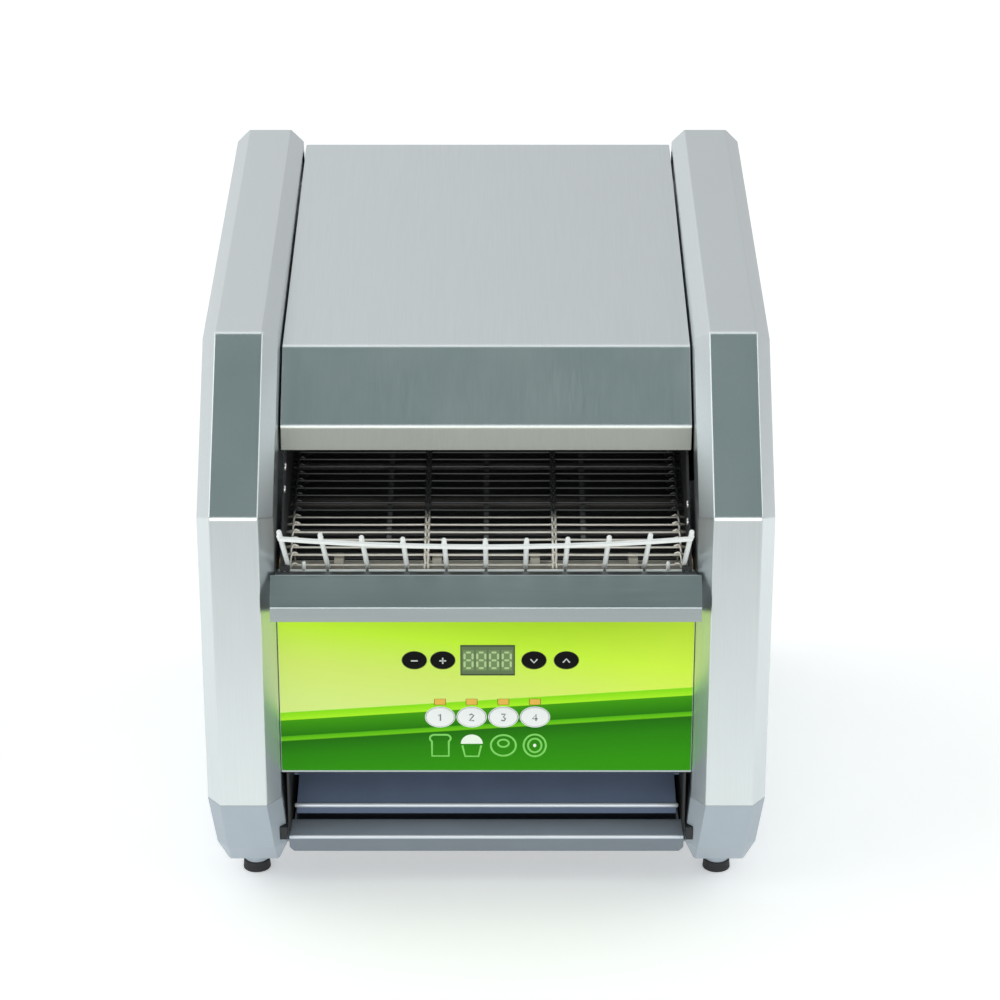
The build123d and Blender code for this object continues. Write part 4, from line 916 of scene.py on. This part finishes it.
def filmFinish():
    # lime ground that pales to the right, over a dark field with straight bands that climb to the right
    finish, tree, shader, place = newFinish("printedFilm")
    shader.inputs["Specular IOR Level"].default_value = 0.12  # satin
    low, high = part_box("panel_overlay")
    wide, tall = high.x - low.x, high.z - low.z
    direction = place.outputs["Object"]

    def leaning(slope, level):
        # height over a line that climbs by the slope, in shares of the panel's height
        value = towards(tree, direction, -slope / wide, 0, 1 / tall)
        return joined(tree, "ADD", value, -low.z / tall - level)

    def bands(value, stops):
        ramp = tree.nodes.new("ShaderNodeValToRGB")
        points = ramp.color_ramp.elements
        while len(points) < len(stops):
            points.new(0.5)
        for point, (spot, color) in zip(points, stops):
            point.position = spot
            point.color = (*color[:3], color[3] if len(color) > 3 else 1)
        tree.links.new(value, ramp.inputs["Fac"])
        return ramp

    ground = bands(
        leaning(-0.30, 0.30),
        [
            (0.0, (0.70, 0.86, 0.24)),
            (0.26, (0.66, 0.84, 0.15)),
            (0.48, (0.56, 0.90, 0.04)),
            (0.75, (0.36, 0.64, 0.01)),
        ],
    )
    pale = skyShare(tree, towards(tree, direction, 1, 0, -0.9), -0.18, 0.10, 0.0, 0.7)
    light = tree.nodes.new("ShaderNodeMix")
    light.data_type = "RGBA"
    light.inputs["B"].default_value = (0.80, 1.0, 0.10, 1)
    tree.links.new(pale, light.inputs["Factor"])
    tree.links.new(ground.outputs["Color"], light.inputs["A"])
    field = bands(
        leaning(0.16, 0.0),
        [
            (0.0, (0.030, 0.30, 0.0, 1)),
            (0.17, (0.022, 0.235, 0.0, 1)),
            (0.265, (0.012, 0.15, 0.0, 1)),
            (0.267, (0.17, 0.60, 0.005, 1)),
            (0.295, (0.08, 0.44, 0.002, 1)),
            (0.297, (0.018, 0.19, 0.0, 1)),
            (0.395, (0.05, 0.33, 0.0, 1)),
            (0.397, (0.42, 0.88, 0.02, 1)),
            (0.445, (0.24, 0.74, 0.005, 1)),
            (0.447, (0.40, 0.85, 0.05, 0)),
        ],
    )
    mix = tree.nodes.new("ShaderNodeMix")
    mix.data_type = "RGBA"
    tree.links.new(field.outputs["Alpha"], mix.inputs["Factor"])
    tree.links.new(light.outputs["Result"], mix.inputs["A"])
    tree.links.new(field.outputs["Color"], mix.inputs["B"])
    tree.links.new(mix.outputs["Result"], shader.inputs["Base Color"])
    grainy = noiseOn(tree, place, 500.0, 2.0)
    tree.links.new(spread(tree, grainy, 0.40, 0.50), shader.inputs["Roughness"])
    bumped(tree, shader, grainy, 0.05, 0.00004)
    return finish


def flatPiece(name, outlines, y, finish, body, slot, thickness=panel["proud"]):
    # thin print: closed outlines in x and z, wound so that their faces look outwards
    shape = bmesh.new()
    for outline in outlines:
        area = sum(a[0] * b[1] - a[1] * b[0] for a, b in zip(outline, outline[1:] + outline[:1]))
        if area < 0:
            outline = outline[:1] + outline[:0:-1]
        front = [shape.verts.new((x, y, z)) for x, z in outline]
        back = [shape.verts.new((x, y + thickness, z)) for x, z in outline]
        shape.faces.new(front)
        shape.faces.new(back[:1] + back[:0:-1])
        for place in range(len(outline)):
            shape.faces.new((front[place], front[place - 1], back[place - 1], back[place]))
    mesh = bpy.data.meshes.new(name)
    shape.to_mesh(mesh)
    shape.free()
    return newPiece(name, mesh, finish, body, slot)


def strip(points, width, closed=True):
    # quads along a path in x and z
    points = [Vector(point) for point in points]
    if closed:
        befores, afters = points[-1:] + points[:-1], points[1:] + points[:1]
    else:
        befores, afters = points[:1] + points[:-1], points[1:] + points[-1:]
    edges = []
    for before, here, after in zip(befores, points, afters):
        along = (after - before).normalized()
        across = Vector((-along.y, along.x)) * width / 2
        edges.append((here - across, here + across))
    pairs = list(zip(edges, edges[1:]))
    if closed:
        pairs.append((edges[-1], edges[0]))
    return [[tuple(a), tuple(c), tuple(d), tuple(b)] for (a, b), (c, d) in pairs]


def oval(x, z, rx, rz, steps=28, first=0.0, sweep=360.0):
    count = steps if sweep == 360.0 else steps + 1
    turn = [radians(first + sweep * step / steps) for step in range(count)]
    return [(x + rx * cos(angle), z + rz * sin(angle)) for angle in turn]


keyCaps = {
    "crown": 0.0006,
    "power": 2.4,  # how late the crown falls off
    "rings": (0.35, 0.6, 0.8, 0.92, 0.98, 1.0),
    "steps": 40,
    "skirt": 0.0012,  # from the cap's edge to its back
}


def spokenName(node):
    # outer_left_key becomes outerLeftKey
    first, *others = node.split("_")
    return first + "".join(word.title() for word in others)


def buildKeys():
    spots = {}
    for node in (n for n in nodes if n.endswith("_key")):
        shape = nodes[node].data
        low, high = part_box(node)
        face = low.y
        caps = [corner.co for corner in shape.vertices if corner.co.y < face + 1e-5]
        rx = (max(c.x for c in caps) - min(c.x for c in caps)) / 2
        rz = (max(c.z for c in caps) - min(c.z for c in caps)) / 2
        x, z = middleOf(node).x, middleOf(node).z
        spots[node] = (x, z, rx, rz, face)
        shape = bmesh.new()
        rings = []
        for share in keyCaps["rings"]:
            rise = keyCaps["crown"] * (1 - share ** keyCaps["power"])
            y = face + keyCaps["crown"] - rise
            outline = oval(x, z, rx * share, rz * share, keyCaps["steps"])
            rings.append([shape.verts.new((cx, y, cz)) for cx, cz in outline])
        back = high.y - keyCaps["skirt"]
        rings.append([shape.verts.new((corner.co.x, back, corner.co.z)) for corner in rings[-1]])
        bridged(shape, rings[::-1], shape.verts.new((x, face, z)))
        mesh = meshOf(shape, node)
        sharpen(mesh, 50)
        slot = slotOfNode[node]
        newPiece(spokenName(node) + "Cap", mesh, finishes[slot], node + "_body", slot, node)
    print("keys:", len(spots))
    return spots


def buildKeyPrints(spots):
    # a printed rim round each key, and a plain mark or number on its cap
    film = panelFace - panel["proud"]
    rims = {
        "black_key": glossFinish("darkRim", (0.03, 0.05, 0.02), 0.4),
        "white_key": finishes["white_key"],
    }
    inks = {
        "black_key": glossFinish("paleMark", (0.62, 0.66, 0.62), 0.4),
        "white_key": glossFinish("greyMark", (0.16, 0.18, 0.20), 0.4),
    }
    dash = [(-0.0022, 0), (0.0022, 0)]
    marks = {
        "outer_left_key": [dash],
        "inner_left_key": [dash, [(0, -0.0022), (0, 0.0022)]],
        "inner_right_key": [[(-0.0022, 0.0012), (0, -0.0014), (0.0022, 0.0012)]],
        "outer_right_key": [[(-0.0022, -0.0012), (0, 0.0014), (0.0022, -0.0012)]],
        "slice_key": [[(-0.0010, 0.0012), (0.0002, 0.0024), (0.0002, -0.0024)]],
        "bun_key": [
            [(-0.0014, 0.0018), (0, 0.0025), (0.0014, 0.0016), (-0.0014, -0.0023), (0.0016, -0.0023)]
        ],
        "ring_key": [
            [(-0.0013, 0.0024), (0.0013, 0.0024), (0, 0.0004), (0.0014, -0.0008), (0.0006, -0.0023),
             (-0.0014, -0.0020)]
        ],
        "muffin_key": [[(0.0007, -0.0024), (0.0007, 0.0024), (-0.0016, -0.0009), (0.0018, -0.0009)]],
    }
    for node, (x, z, rx, rz, face) in spots.items():
        slot, name = slotOfNode[node], spokenName(node)
        width = panel["rimWidth"][slot]
        gap = panel["rimGap"] + width / 2
        ring = strip(oval(x, z, rx + gap, rz + gap, 40), width)
        flatPiece(name + "Rim", ring, film, rims[slot], "housing", "white_key")
        quads = []
        for mark in marks[node]:
            quads += strip([(x + mx, z + mz) for mx, mz in mark], panel["markStroke"], False)
        flatPiece(name + "Mark", quads, face - 0.00003, inks[slot], node + "_body", slot, 0.0002)
    print("key prints:", len(spots))


breads = {  # half width and height of each picture's main outline
    "slice_key": (0.0055, 0.0078),
    "bun_key": (0.0072, 0.0068),
    "ring_key": (0.0082, 0.0076),
    "muffin_key": (0.0073, 0.0080),
}


def buildPictures(spots):
    # generic breads under the program keys: a slice, a bun, a ring and a round
    film = panelFace - panel["proud"]
    ink = glossFinish("pictureInk", panel["ink"], 0.4)
    white = glossFinish("pictureWhite", (0.85, 0.92, 0.80), 0.4)
    for node, (wide, tall) in breads.items():
        x, z = spots[node][0], spots[node][1] - panel["pictureDrop"]
        filled, closed = [], True
        if node == "slice_key":
            crust = [(x - wide, z - tall), (x + wide, z - tall), (x + wide, z + 0.0030)]
            crust += oval(x + 0.0040, z + 0.0052, 0.0028, 0.0026, 6, -40, 130)
            crust += oval(x - 0.0040, z + 0.0052, 0.0028, 0.0026, 6, 90, 130)
            crust += [(x - wide, z + 0.0030)]
            lines = [crust]
        elif node == "bun_key":
            filled = [oval(x, z + 0.0012, wide, tall, 16, 0, 180)]
            cup = ((-0.0062, 0), (-0.0044, -0.0080), (0.0044, -0.0080), (0.0062, 0))
            lines, closed = [[(x + mx, z + mz) for mx, mz in cup]], False
        elif node == "ring_key":
            lines = [oval(x, z, wide, tall, 32), oval(x, z + 0.0016, 0.0036, 0.0027, 20)]
        else:
            lines = [oval(x, z, wide, tall, 32), oval(x, z, 0.0044, 0.0050, 24)]
            filled = [oval(x, z, 0.0011, 0.0013, 12)]
        quads = []
        for points in lines:
            quads += strip(points, panel["pictureStroke"], closed)
        name = node.split("_")[0] + "Picture"
        flatPiece(name, quads, film, ink, "housing", "white_key")
        if filled:
            flatPiece(name + "Fill", filled, film, white, "housing", "white_key")
    print("pictures:", len(breads))


def digitBars(x, z, wide, tall, stroke):
    # seven bars, each with pointed ends
    bars = []
    for level in (-1, 0, 1):
        height, reach = z + level * tall / 2, wide / 2 - stroke * 0.55
        bars.append([
            (x - reach, height), (x - reach + stroke / 2, height - stroke / 2),
            (x + reach - stroke / 2, height - stroke / 2), (x + reach, height),
            (x + reach - stroke / 2, height + stroke / 2), (x - reach + stroke / 2, height + stroke / 2),
        ])
    for side in (-1, 1):
        for level in (-1, 1):
            across, height = x + side * wide / 2, z + level * tall / 4
            reach = tall / 4 - stroke * 0.35
            bars.append([
                (across, height - reach), (across + stroke / 2, height - reach + stroke / 2),
                (across + stroke / 2, height + reach - stroke / 2), (across, height + reach),
                (across - stroke / 2, height + reach - stroke / 2),
                (across - stroke / 2, height - reach + stroke / 2),
            ])
    return bars


def buildDisplay():
    low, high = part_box("display_window")
    middle = middleOf("display_window")
    bars, cells = [], []
    for place in range(4):
        x = middle.x + (place - 1.5) * panel["digitPitch"]
        bars += digitBars(x, middle.z, *panel["digit"], panel["stroke"])
        wide, tall = panel["cell"]
        left, right, bottom, top = x - wide / 2, x + wide / 2, middle.z - tall / 2, middle.z + tall / 2
        cells.append([(left, bottom), (right, bottom), (right, top), (left, top)])
    proud = panel["proud"]
    cellInk = glossFinish("cellInk", (0.15, 0.25, 0.08), 0.4, 0.2)
    digitInk = glossFinish("digitInk", (0.44, 0.60, 0.26), 0.4, 0.2)
    rimInk = glossFinish("displayRim", (0.025, 0.06, 0.012), 0.35, 0.2)
    flatPiece("displayCells", cells, low.y - proud * 0.5, cellInk, "housing", "display_lens")
    flatPiece("displayDigits", bars, low.y - proud, digitInk, "housing", "display_lens")
    corners = [(low.x, low.z), (high.x, low.z), (high.x, high.z), (low.x, high.z)]
    border = strip(corners, panel["displayBorder"])
    flatPiece("displayRim", border, low.y - proud * 1.1, rimInk, "housing", "display_lens")
    print("display digits: 4")


buildCamera()
buildStudio()
for node, piece in nodes.items():
    slot = slotOfNode[node]
    chosen = finishes.get(slot, finishes["plated_sheet"])
    # the belt's slide bars and the lower reflector take the dark steel
    if node in ("belt_slide_bars", "lower_reflector"):
        chosen = finishes["sootedSteel"]
    if node in ("idler_rollers", "idler_shaft"):
        chosen = finishes["noseSteel"]
    if node == "panel_overlay":
        chosen = filmFinish()
    piece.data.materials.clear()
    piece.data.materials.append(chosen)
buildShell()
buildEdges()
buildBelt()
buildRack()
buildFasteners()
keySpots = buildKeys()
buildKeyPrints(keySpots)
buildPictures(keySpots)
buildDisplay()
